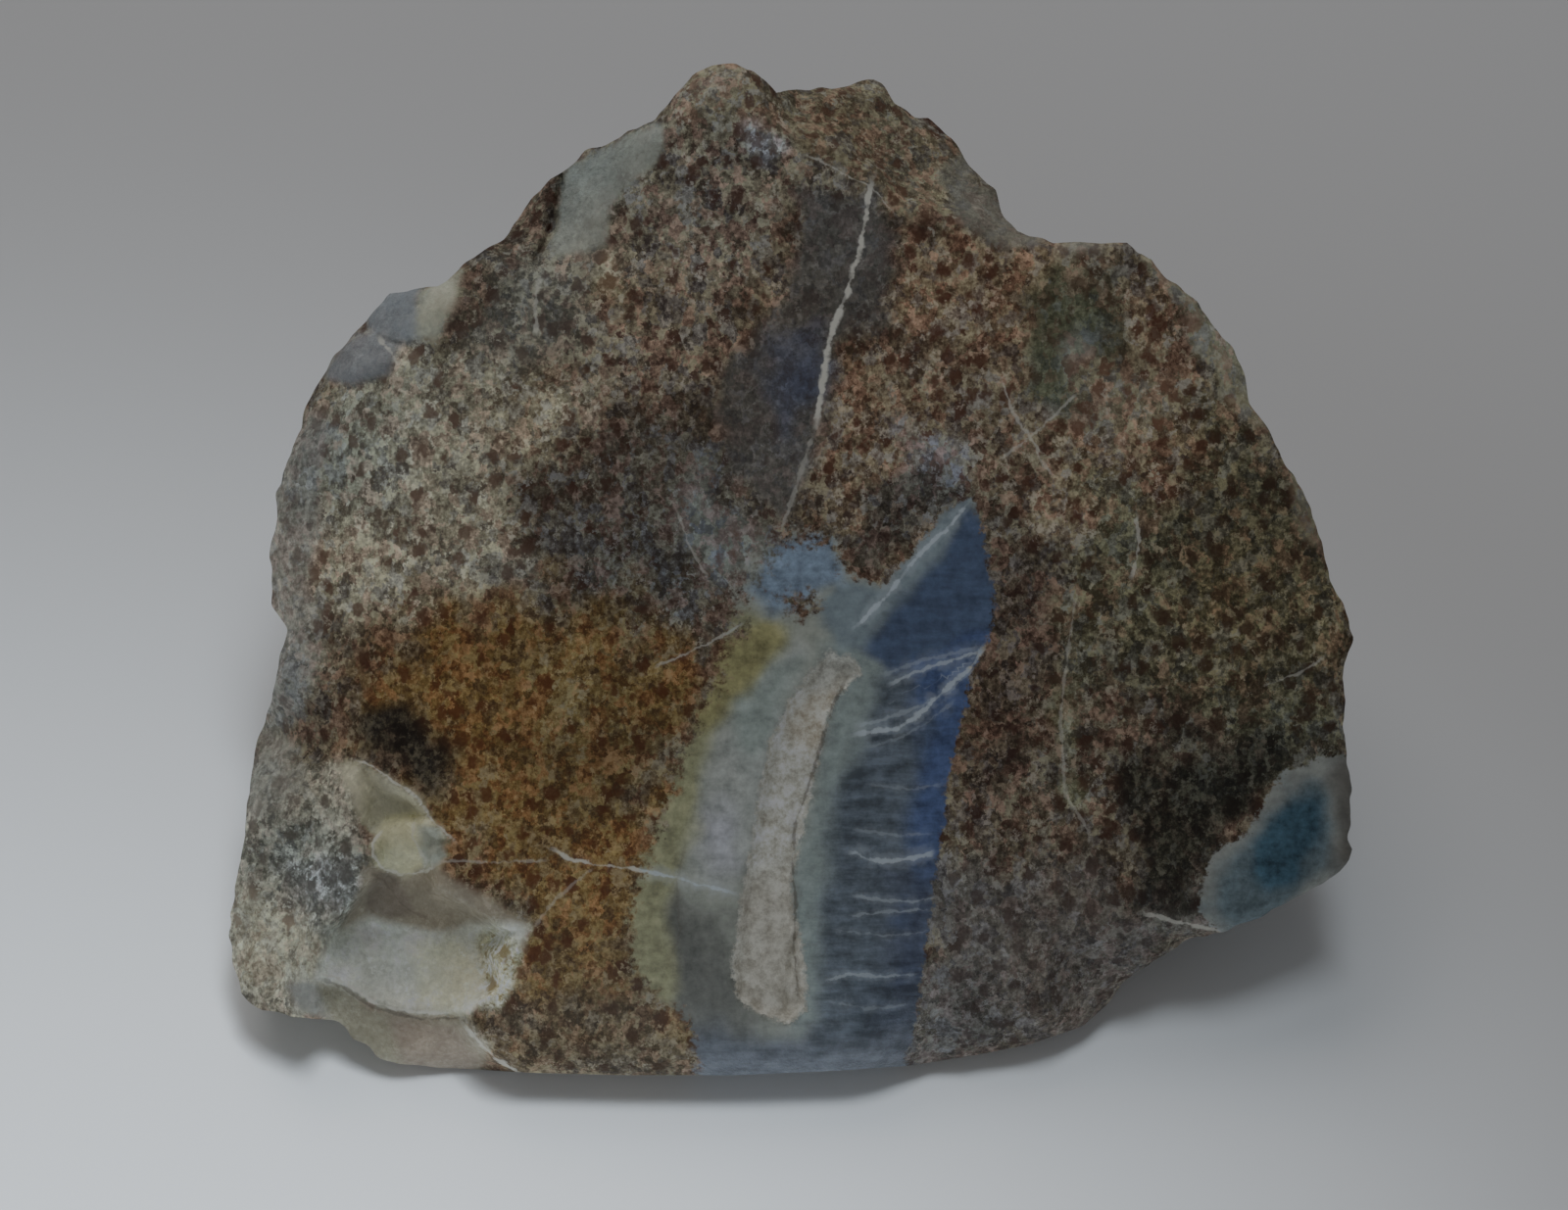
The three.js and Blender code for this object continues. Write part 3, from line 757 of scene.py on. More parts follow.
ROCK_ZONES = (
    Zone("olive right", [(1150, 400), (1250, 380), (1340, 480), (1390, 640), (1380, 770), (1290, 790),
                         (1200, 740), (1130, 640), (1110, 500)],
         Palette((0.038, 0.031, 0.019), (0.11, 0.098, 0.066), (0.265, 0.24, 0.17)), soft=7, wander=3),
    Zone("pink right", [(905, 330), (915, 230), (1040, 235), (1190, 290), (1190, 490), (1060, 540),
                        (1000, 520), (900, 560), (840, 520), (850, 400)],
         Palette((0.075, 0.043, 0.029), (0.215, 0.155, 0.11), (0.41, 0.335, 0.255)), soft=6, wander=3),
    Zone("rust top", [(600, 240), (640, 150), (700, 60), (800, 60), (830, 180), (800, 300), (770, 320),
                      (720, 400), (620, 420), (560, 340)],
         Palette((0.062, 0.044, 0.037), (0.20, 0.17, 0.142), (0.38, 0.34, 0.285)), soft=6, wander=3),
    Zone("beige upper left", [(285, 560), (300, 470), (340, 380), (430, 340), (560, 350), (580, 480),
                              (540, 590), (440, 620), (300, 640)],
         Palette((0.12, 0.10, 0.08), (0.305, 0.285, 0.23), (0.55, 0.53, 0.435), hue=0.6), soft=7, wander=3),
    Zone("dark brown", [(540, 480), (620, 430), (700, 430), (780, 470), (800, 560), (770, 640),
                        (700, 655), (560, 610), (510, 550)],
         Palette((0.045, 0.032, 0.025), (0.105, 0.09, 0.08), (0.22, 0.21, 0.20)), soft=6, wander=2.5),
    Zone("smooth dark grey", [(820, 200), (900, 190), (905, 330), (840, 350), (830, 480), (800, 520),
                              (740, 480), (730, 380), (775, 320), (800, 300)],
         Palette((0.052, 0.048, 0.045), (0.10, 0.095, 0.09), (0.18, 0.172, 0.165), grain=0.7, hue=0.4),
         soft=2),
    Zone("blue tint", [(775, 335), (830, 340), (838, 400), (805, 430), (765, 400)],
         Palette((0.045, 0.045, 0.055), (0.07, 0.08, 0.118), (0.115, 0.135, 0.20), grain=0.6, hue=0.1),
         soft=4, wander=2),
    Zone("dark green", [(1050, 300), (1080, 275), (1135, 290), (1140, 380), (1100, 430), (1045, 400)],
         Palette((0.05, 0.048, 0.032), (0.11, 0.108, 0.075), (0.2, 0.2, 0.15), grain=0.8), soft=3),
    Zone("grey white spot", [(1075, 345), (1100, 332), (1122, 350), (1120, 378), (1090, 385)],
         Palette((0.16, 0.16, 0.15), (0.24, 0.24, 0.22), (0.34, 0.34, 0.31), grain=0.7), soft=2),
    Zone("pale beige spots", [(1110, 370), (1170, 365), (1195, 410), (1150, 450), (1100, 440)],
         Palette((0.13, 0.10, 0.075), (0.245, 0.21, 0.16), (0.38, 0.335, 0.265)), soft=3, wander=1.5),
    Zone("lilac white spot", [(915, 445), (950, 430), (985, 460), (975, 500), (935, 505)],
         Palette((0.17, 0.13, 0.12), (0.30, 0.26, 0.25), (0.44, 0.40, 0.40)), soft=3, wander=1.5),
    Zone("pale olive band", [(1110, 470), (1150, 510), (1145, 590), (1118, 690), (1085, 705), (1085, 620),
                             (1108, 540)],
         Palette((0.06, 0.05, 0.03), (0.17, 0.155, 0.105), (0.33, 0.31, 0.22)), soft=2, wander=1.5,
         strength=0.6),
    Zone("pale spots under the band", [(1078, 720), (1098, 700), (1104, 770), (1100, 815), (1084, 800)],
         Palette((0.12, 0.11, 0.06), (0.26, 0.25, 0.16), (0.42, 0.41, 0.30), hue=0.5), soft=1.5, wander=1,
         strength=0.6),
    Zone("pale spots lower left of the top", [(490, 395), (560, 380), (585, 420), (540, 460), (490, 440)],
         Palette((0.14, 0.11, 0.08), (0.34, 0.31, 0.24), (0.58, 0.56, 0.46), hue=0.6), soft=3, wander=1.5,
         strength=0.6),
    Zone("dark grains at the left", [(495, 580), (540, 560), (560, 600), (520, 625), (490, 615)],
         Palette((0.06, 0.055, 0.05), (0.13, 0.125, 0.115), (0.26, 0.255, 0.235), hue=0.5), soft=2,
         wander=1.5, strength=0.7),
    Zone("dark by the tip", [(880, 505), (955, 478), (985, 500), (935, 560), (895, 580), (865, 550)],
         Palette((0.024, 0.02, 0.018), (0.07, 0.062, 0.058), (0.17, 0.16, 0.155)), soft=2, wander=1,
         strength=0.8),
    Zone("dark right of the blue", [(1020, 560), (1070, 600), (1050, 760), (1000, 860), (975, 850),
                                    (1000, 700)],
         Palette((0.03, 0.018, 0.014), (0.10, 0.07, 0.055), (0.24, 0.18, 0.15)), soft=3, wander=1.5,
         strength=0.7),
    Zone("dark low right", [(1150, 800), (1200, 740), (1300, 740), (1310, 800), (1250, 850),
                            (1215, 940), (1160, 950)],
         Palette((0.011, 0.009, 0.006), (0.032, 0.028, 0.020), (0.10, 0.093, 0.070), hue=0.6), soft=5,
         wander=2.5),
    Zone("grey bend", [(945, 880), (1130, 890), (1240, 940), (1180, 1020), (1100, 1080), (915, 1110),
                       (935, 1000)],
         Palette((0.055, 0.047, 0.042), (0.13, 0.115, 0.105), (0.235, 0.218, 0.205), grain=0.85, hue=0.5),
         soft=6, wander=2),
    Zone("ochre", [(400, 640), (470, 610), (560, 600), (650, 640), (715, 680), (700, 770), (670, 850),
                   (650, 950), (655, 1010), (700, 1060), (540, 1080), (520, 960), (470, 910), (445, 860),
                   (430, 800), (370, 740), (360, 690)],
         Palette((0.075, 0.036, 0.013), (0.18, 0.11, 0.043), (0.30, 0.212, 0.105)), soft=7, wander=3),
    # Darker and duller towards the bottom of the face.
    Zone("darker foot of the ochre", [(500, 1025), (560, 1015), (620, 985), (665, 1010), (715, 1060),
                                    (710, 1130), (480, 1130)],
         Palette((0.045, 0.034, 0.022), (0.115, 0.092, 0.062), (0.23, 0.195, 0.14), hue=0.5),
         soft=7, wander=2, strength=0.8),
    Zone("near black", [(350, 738), (410, 722), (455, 765), (458, 820), (430, 815), (400, 788), (370, 762)],
         Palette((0.012, 0.008, 0.005), (0.032, 0.024, 0.016), (0.10, 0.083, 0.055), hue=0.4), soft=3,
         wander=1.2),
    Zone("left edge", [(270, 660), (275, 500), (315, 420), (335, 440), (322, 560), (318, 700), (280, 740)],
         Palette((0.13, 0.126, 0.115), (0.27, 0.268, 0.248), (0.43, 0.425, 0.39), grain=0.8, hue=0.4),
         soft=2),
    Zone("pale by the vein", [(690, 490), (720, 480), (730, 520), (800, 530), (800, 600), (755, 600),
                              (700, 530)],
         Palette((0.13, 0.13, 0.13), (0.20, 0.21, 0.22), (0.30, 0.32, 0.34), grain=0.8), soft=3, wander=1.5,
         strength=0.8),
    Zone("dark grey upper left", [(470, 330), (500, 270), (560, 250), (610, 260), (600, 330), (560, 370),
                                  (480, 380)],
         Palette((0.08, 0.078, 0.07), (0.16, 0.155, 0.135), (0.33, 0.32, 0.27), hue=0.5), soft=4,
         wander=1.5, strength=0.85),
    Zone("cream bits upper left", [(600, 262), (625, 250), (645, 270), (630, 300), (605, 300)],
         Palette((0.17, 0.14, 0.09), (0.36, 0.34, 0.25), (0.55, 0.53, 0.42), hue=0.4), soft=1.5, wander=1,
         strength=0.8),
    Zone("ochre bright", [(540, 660), (590, 650), (605, 700), (590, 760), (545, 750)],
         Palette((0.11, 0.055, 0.02), (0.26, 0.17, 0.072), (0.42, 0.32, 0.18)), soft=3, wander=1.5,
         strength=0.7),
    # Pale grains whose lightest shade is a bluish white: their own colour with painted sparkle highlights.
    Zone("pale grains with painted sparkles at the top", [(750, 118), (785, 110), (798, 150), (780, 170), (755, 160)],
         Palette((0.12, 0.11, 0.11), (0.24, 0.24, 0.25), (0.62, 0.65, 0.72), hue=0.3), soft=1.5, wander=0.8,
         strength=0.8),
    Zone("green patch", [(580, 170), (600, 158), (665, 127), (680, 125), (675, 150), (660, 175),
                         (640, 195), (625, 215), (615, 250), (600, 258), (565, 262), (560, 250),
                         (568, 215), (575, 190)],
         Palette((0.2, 0.2, 0.17), (0.31, 0.315, 0.27), (0.38, 0.395, 0.335), grain=0.45, hue=0.1),
         soft=0.8, wander=0.4),
    Zone("blue lump", [(372, 345), (375, 300), (400, 280), (430, 290), (428, 345), (400, 350)],
         Palette((0.18, 0.19, 0.20), (0.26, 0.275, 0.285), (0.345, 0.36, 0.37), grain=0.35, hue=0.1),
         soft=1, wander=0.4),
    Zone("cream lump", [(422, 345), (424, 300), (440, 285), (475, 275), (470, 310), (445, 348)],
         Palette((0.33, 0.32, 0.25), (0.44, 0.44, 0.35), (0.52, 0.52, 0.42), grain=0.35, hue=0.1),
         soft=1, wander=0.4),
    Zone("grey blue lump", [(335, 385), (345, 352), (380, 340), (408, 350), (400, 385), (360, 395)],
         Palette((0.16, 0.17, 0.18), (0.23, 0.24, 0.25), (0.32, 0.33, 0.34), grain=0.4, hue=0.1),
         soft=1, wander=0.4),
    Zone("top knob", [(680, 115), (705, 75), (745, 55), (790, 75), (800, 110), (770, 130), (700, 135)],
         Palette((0.10, 0.076, 0.054), (0.23, 0.185, 0.138), (0.40, 0.345, 0.265)), soft=2),
    Zone("top right ledge", [(790, 80), (900, 70), (960, 130), (1010, 180), (1050, 238), (960, 232),
                             (915, 218), (888, 190), (840, 163), (820, 156), (800, 118)],
         Palette((0.085, 0.062, 0.042), (0.19, 0.152, 0.11), (0.33, 0.285, 0.21)), soft=1.5),
    # Grey stone along the ledge, with a painted sheen on the narrow facet at its lower edge.
    Zone("grey and painted sheen on the ledge", [(965, 165), (990, 160), (1040, 220), (1120, 245), (1110, 256), (1020, 245),
                               (975, 220)],
         Palette((0.105, 0.097, 0.082), (0.168, 0.158, 0.134), (0.25, 0.235, 0.20), grain=0.6, hue=0.4),
         soft=1.5),
    Zone("right edge", [(1165, 262), (1185, 292), (1255, 398), (1290, 438), (1345, 545), (1390, 560),
                        (1300, 400), (1200, 260)],
         Palette((0.15, 0.13, 0.10), (0.24, 0.215, 0.17), (0.36, 0.33, 0.27), grain=0.7), soft=1),
    Zone("left facet", [(225, 1040), (225, 950), (240, 850), (275, 780), (350, 765), (372, 800),
                        (370, 840), (376, 900), (342, 960), (332, 1000), (305, 1040)],
         Palette((0.12, 0.113, 0.09), (0.305, 0.29, 0.235), (0.54, 0.515, 0.42), hue=0.3), soft=1.5,
         wander=0.6),
    Zone("yellow foot of the facet", [(240, 900), (300, 930), (335, 960), (320, 1005), (235, 1010)],
         Palette((0.22, 0.19, 0.14), (0.40, 0.37, 0.28), (0.56, 0.54, 0.42), hue=0.3), soft=2, wander=0.8),
    # Pale grains whose lightest shade is almost white: their own colour with painted sparkle highlights.
    Zone("pale grains with painted sparkles on the facet", [(296, 890), (330, 870), (368, 875), (366, 915), (330, 930), (300, 920)],
         Palette((0.12, 0.117, 0.105), (0.26, 0.255, 0.235), (0.66, 0.67, 0.68), hue=0.1), soft=2.5,
         wander=1, strength=0.7),
    Zone("smooth side of the facet", [(255, 790), (262, 745), (300, 735), (312, 800), (285, 830),
                                       (262, 835)],
         Palette((0.16, 0.15, 0.125), (0.27, 0.26, 0.22), (0.39, 0.375, 0.315), 0.8, 0.2), soft=2,
         wander=1),
    Zone("grey bit under the facet", [(290, 1002), (330, 1000), (350, 1020), (340, 1045), (300, 1030)],
         Palette((0.20, 0.20, 0.18), (0.26, 0.26, 0.235), (0.33, 0.33, 0.30), 0.4, 0.1), soft=0.8,
         wander=0.3),
    Zone("chip upper", [(345, 780), (368, 776), (395, 793), (425, 813), (445, 842), (462, 858),
                        (440, 870), (380, 850), (365, 830), (350, 800)],
         Palette((0.34, 0.32, 0.23), (0.44, 0.42, 0.31), (0.54, 0.52, 0.40), 0.4, 0.0), soft=0.8,
         wander=0.3),
    # Painted shade: the hollow under the nub faces down, away from the light, and its beige stone is
    # painted darker.
    Zone("hollow", [(372, 885), (446, 876), (462, 895), (500, 918), (546, 944), (520, 956), (440, 960),
                    (345, 955), (370, 905)],
         Palette((0.22, 0.18, 0.13), (0.30, 0.255, 0.185), (0.40, 0.35, 0.265), 0.4, 0.0), soft=0.8,
         wander=0.3),
    # Painted shade, deepest in the hollow's inner corner.
    Zone("painted shade in the corner of the hollow", [(378, 888), (400, 890), (425, 930), (400, 938), (372, 932)],
         Palette((0.17, 0.135, 0.10), (0.22, 0.18, 0.135), (0.28, 0.235, 0.18), 0.4, 0.0), soft=0.5,
         wander=0.2),
    # The shelf is pale stone, painted brighter still where it faces up into the light: its own colour and
    # painted light.
    Zone("shelf", [(335, 950), (380, 938), (440, 950), (510, 943), (540, 948), (522, 980), (515, 1012),
                   (480, 1035), (400, 1030), (325, 1000)],
         Palette((0.46, 0.455, 0.38), (0.62, 0.62, 0.535), (0.76, 0.765, 0.68), 0.5, 0.0), soft=1,
         wander=0.4),
    Zone("yellow end of the shelf", [(420, 965), (470, 955), (490, 1000), (470, 1030), (425, 1025)],
         Palette((0.50, 0.49, 0.35), (0.62, 0.61, 0.45), (0.74, 0.73, 0.57), 0.5, 0.0), soft=1.5,
         wander=0.6, strength=0.8),
    Zone("crystals by the shelf", [(478, 955), (505, 940), (528, 970), (515, 1025), (488, 1028)],
         Palette((0.26, 0.21, 0.10), (0.50, 0.50, 0.36), (0.80, 0.81, 0.70), hue=0.1), soft=1.2,
         wander=0.8),
    Zone("lower facet", [(318, 1000), (345, 1003), (380, 1026), (470, 1038), (500, 1070), (480, 1110),
                         (380, 1110), (335, 1040)],
         Palette((0.18, 0.17, 0.12), (0.25, 0.235, 0.175), (0.33, 0.315, 0.245), 0.4, 0.0), soft=1,
         wander=0.3),
    Zone("right of the lower facet", [(400, 1040), (465, 1045), (500, 1085), (470, 1110), (410, 1110)],
         Palette((0.195, 0.155, 0.12), (0.255, 0.21, 0.17), (0.32, 0.275, 0.225), 0.4, 0.0),
         soft=1.5, wander=0.3, strength=0.8),
    Zone("nub", [(378, 862), (392, 835), (425, 830), (455, 845), (450, 880), (412, 893), (382, 885)],
         Palette((0.42, 0.395, 0.245), (0.53, 0.505, 0.33), (0.64, 0.62, 0.44), 0.4, 0.0), soft=0.5,
         wander=0.2),
    Zone("nub, right half", [(424, 840), (450, 845), (455, 875), (432, 887)],
         Palette((0.28, 0.285, 0.22), (0.37, 0.38, 0.31), (0.46, 0.47, 0.40), 0.4, 0.0), soft=0.5,
         wander=0.2),
)

VEIN_BODY: Points = [
    (990, 508), (1000, 530), (1005, 560), (1010, 590), (1015, 620), (1010, 645), (1000, 670),
    (988, 690), (985, 720), (975, 760), (967, 800), (960, 850), (955, 880), (952, 920), (945, 960),
    (940, 1000), (935, 1040), (925, 1080), (915, 1180), (715, 1180), (710, 1074), (703, 1039),
    (678, 1024), (660, 1006), (646, 978), (644, 946), (649, 917), (660, 881), (671, 853), (678, 824),
    (692, 803), (696, 774), (710, 739), (728, 700), (745, 655), (755, 610), (775, 575), (800, 550),
    (850, 552), (862, 585), (900, 598), (930, 566), (965, 520),
]

VEIN_GAPS: tuple[Points, ...] = (
    [(798, 606), (835, 602), (843, 622), (818, 638), (800, 628)],
    [(740, 640), (760, 630), (768, 650), (752, 664), (740, 656)],
    [(722, 700), (738, 680), (750, 690), (740, 712), (726, 722)],
    [(858, 552), (885, 556), (900, 590), (880, 592), (862, 580)],
)

TEAL_PATCH: Points = [
    (1420, 745), (1378, 768), (1345, 774), (1320, 785), (1300, 800), (1290, 820), (1280, 840),
    (1265, 855), (1240, 870), (1230, 890), (1225, 910), (1225, 930), (1238, 945), (1270, 975),
    (1420, 960),
]


def plain(colour: Colour, spread: float = 0.22, wisps: float = 0.2) -> Palette:
    """A palette around one colour, a share darker and lighter, with the strength of its wisps."""
    return Palette(
        tuple(c * (1 - spread) for c in colour), colour, tuple(c * (1 + spread) for c in colour), wisps,
    )


VEIN_BASE = plain((0.28, 0.295, 0.255))

VEIN_ZONES = (
    Zone("lilac white", [(705, 800), (745, 740), (770, 770), (762, 860), (745, 900), (705, 900),
                          (695, 850)],
         plain((0.31, 0.325, 0.30), 0.35), soft=3),
    Zone("lilac spot", [(718, 845), (740, 825), (757, 850), (752, 885), (728, 890)],
         plain((0.37, 0.375, 0.405), 0.3), soft=3.5, strength=0.8),
    Zone("white by the core", [(765, 700), (800, 660), (830, 655), (812, 700), (790, 760), (772, 830),
                               (765, 870), (752, 860), (758, 790)],
         plain((0.33, 0.35, 0.325), 0.3), soft=2),
    Zone("teal tint", [(755, 720), (790, 665), (825, 670), (808, 710), (785, 760), (765, 790), (752, 760)],
         plain((0.27, 0.31, 0.285), 0.3), soft=2.5),
    # Darker towards the bottom of the face.
    Zone("pale low", [(640, 920), (740, 925), (750, 1000), (775, 1040), (760, 1150),
                      (690, 1150), (640, 1000)],
         plain((0.118, 0.122, 0.108), 0.35), soft=4),
    Zone("lime rim", [(700, 640), (735, 660), (715, 700), (690, 739), (676, 774), (672, 803), (658, 824),
                      (650, 853), (640, 881), (630, 917), (624, 946), (630, 978), (650, 1006), (690, 1040),
                      (684, 1000), (678, 970), (680, 940), (690, 900), (702, 860), (712, 820),
                      (722, 780), (736, 745), (755, 712), (790, 672), (800, 640), (760, 620)],
         plain((0.26, 0.26, 0.155), 0.4), soft=1.8, wander=0.8),
    Zone("yellow green streak", [(735, 655), (700, 690), (712, 735), (735, 715), (760, 690), (792, 655),
                                 (785, 635), (755, 632)],
         plain((0.25, 0.235, 0.115), 0.45), soft=1.6),
    Zone("blue", [(990, 505), (1040, 600), (1010, 700), (985, 800), (970, 900), (955, 1000), (940, 1180),
                  (815, 1180), (812, 1000), (822, 900), (836, 830), (848, 760), (870, 700), (890, 660),
                  (910, 605), (930, 565), (965, 515)],
         plain((0.098, 0.118, 0.142), 0.4, 0.75), soft=2.5),
    Zone("strip by the core", [(838, 655), (885, 640), (900, 680), (880, 745), (858, 790), (846, 850),
                               (840, 900), (836, 960), (832, 1040), (812, 1050), (800, 960), (815, 860),
                               (840, 760)],
         plain((0.235, 0.275, 0.262), 0.3), soft=2.4, wander=0.5),
    Zone("deep blue", [(985, 530), (1030, 600), (1010, 690), (985, 790), (965, 900), (950, 1000),
                       (918, 1000), (925, 860), (942, 760), (935, 700), (915, 650), (940, 590)],
         plain((0.068, 0.096, 0.192), 0.4, 0.45), soft=2.5),
    Zone("blue shoulder", [(985, 525), (1025, 560), (1015, 640), (960, 660), (905, 680), (885, 655),
                           (915, 620), (945, 585)],
         plain((0.073, 0.098, 0.160), 0.3, 0.5), soft=1.5),
    # Darker towards the bottom of the face.
    Zone("darker foot of the blue", [(905, 890), (985, 880), (960, 1180), (890, 1180), (895, 1000)],
         plain((0.068, 0.080, 0.112), 0.4, 0.6), soft=5, strength=0.85),
    Zone("pale teal haze", [(835, 640), (850, 590), (905, 600), (935, 565), (985, 508), (960, 555),
                            (925, 600), (895, 630), (880, 655), (855, 665)],
         plain((0.185, 0.225, 0.245)), soft=1.5),
    Zone("pale patch", [(765, 600), (785, 552), (850, 548), (856, 590), (830, 612), (790, 620)],
         plain((0.19, 0.245, 0.315), 0.45, 0.3), soft=1.8),
    # Greyer and darker towards the bottom of the face.
    Zone("grey bottom", [(700, 1050), (940, 1056), (940, 1180), (700, 1180)],
         plain((0.135, 0.15, 0.175), 0.3, 0.6), soft=4),
    Zone("teal patch rim", [(1200, 720), (1430, 720), (1430, 990), (1200, 990)],
         plain((0.23, 0.24, 0.22)), soft=0.5),
    Zone("teal patch inside", [(1312, 800), (1345, 805), (1365, 840), (1360, 880), (1330, 905),
                               (1300, 940), (1262, 950), (1240, 925), (1245, 895), (1275, 870),
                               (1295, 835)],
         plain((0.11, 0.145, 0.16), 0.45), soft=2),
    Zone("teal patch core", [(1312, 815), (1342, 820), (1352, 845), (1340, 872), (1318, 895),
                             (1298, 908), (1283, 890), (1286, 862), (1302, 838)],
         plain((0.045, 0.088, 0.12), 0.6), soft=1.6),
    Zone("grey right of the teal", [(1355, 785), (1400, 780), (1400, 890), (1350, 890), (1362, 850)],
         plain((0.13, 0.125, 0.11)), soft=2),
)

CORE_BASE = Palette((0.29, 0.265, 0.21), (0.48, 0.475, 0.415), (0.68, 0.69, 0.64))
CORE_ZONES = (
    Zone("grey top of the core", [(820, 655), (885, 655), (880, 700), (840, 720), (820, 700)],
         Palette((0.24, 0.23, 0.20), (0.40, 0.395, 0.35), (0.56, 0.56, 0.51)), soft=3),
    Zone("warm spot of the core", [(815, 720), (850, 700), (862, 730), (840, 770), (812, 760)],
         Palette((0.30, 0.22, 0.13), (0.46, 0.41, 0.32), (0.60, 0.58, 0.52)), soft=2, strength=0.6),
    # Darker and greyer towards the bottom of the face.
    Zone("darker foot of the core", [(740, 900), (830, 900), (835, 1060), (740, 1060)],
         Palette((0.26, 0.235, 0.19), (0.40, 0.38, 0.325), (0.54, 0.525, 0.465)), soft=5),
)


class VeinGroup(Enum):
    """Groups of hairline veins and painted edge highlights, the last dark cracks and painted shadow
    lines. The lines of one group keep clear of each other.
    """

    FIRST = "veins_first"
    SECOND = "veins_second"
    THIRD = "veins_third"
    CRACKS = "cracks"


@dataclass(frozen=True)
class Vein:
    """A thin line along a run of picture points, with its half width in millimetres. Most are pale veins,
    some painted highlights on the chip's edges; the dark ones are cracks and painted shadow lines.
    """

    group: VeinGroup
    line: Points
    half_width: float
    strength: float = 1.0


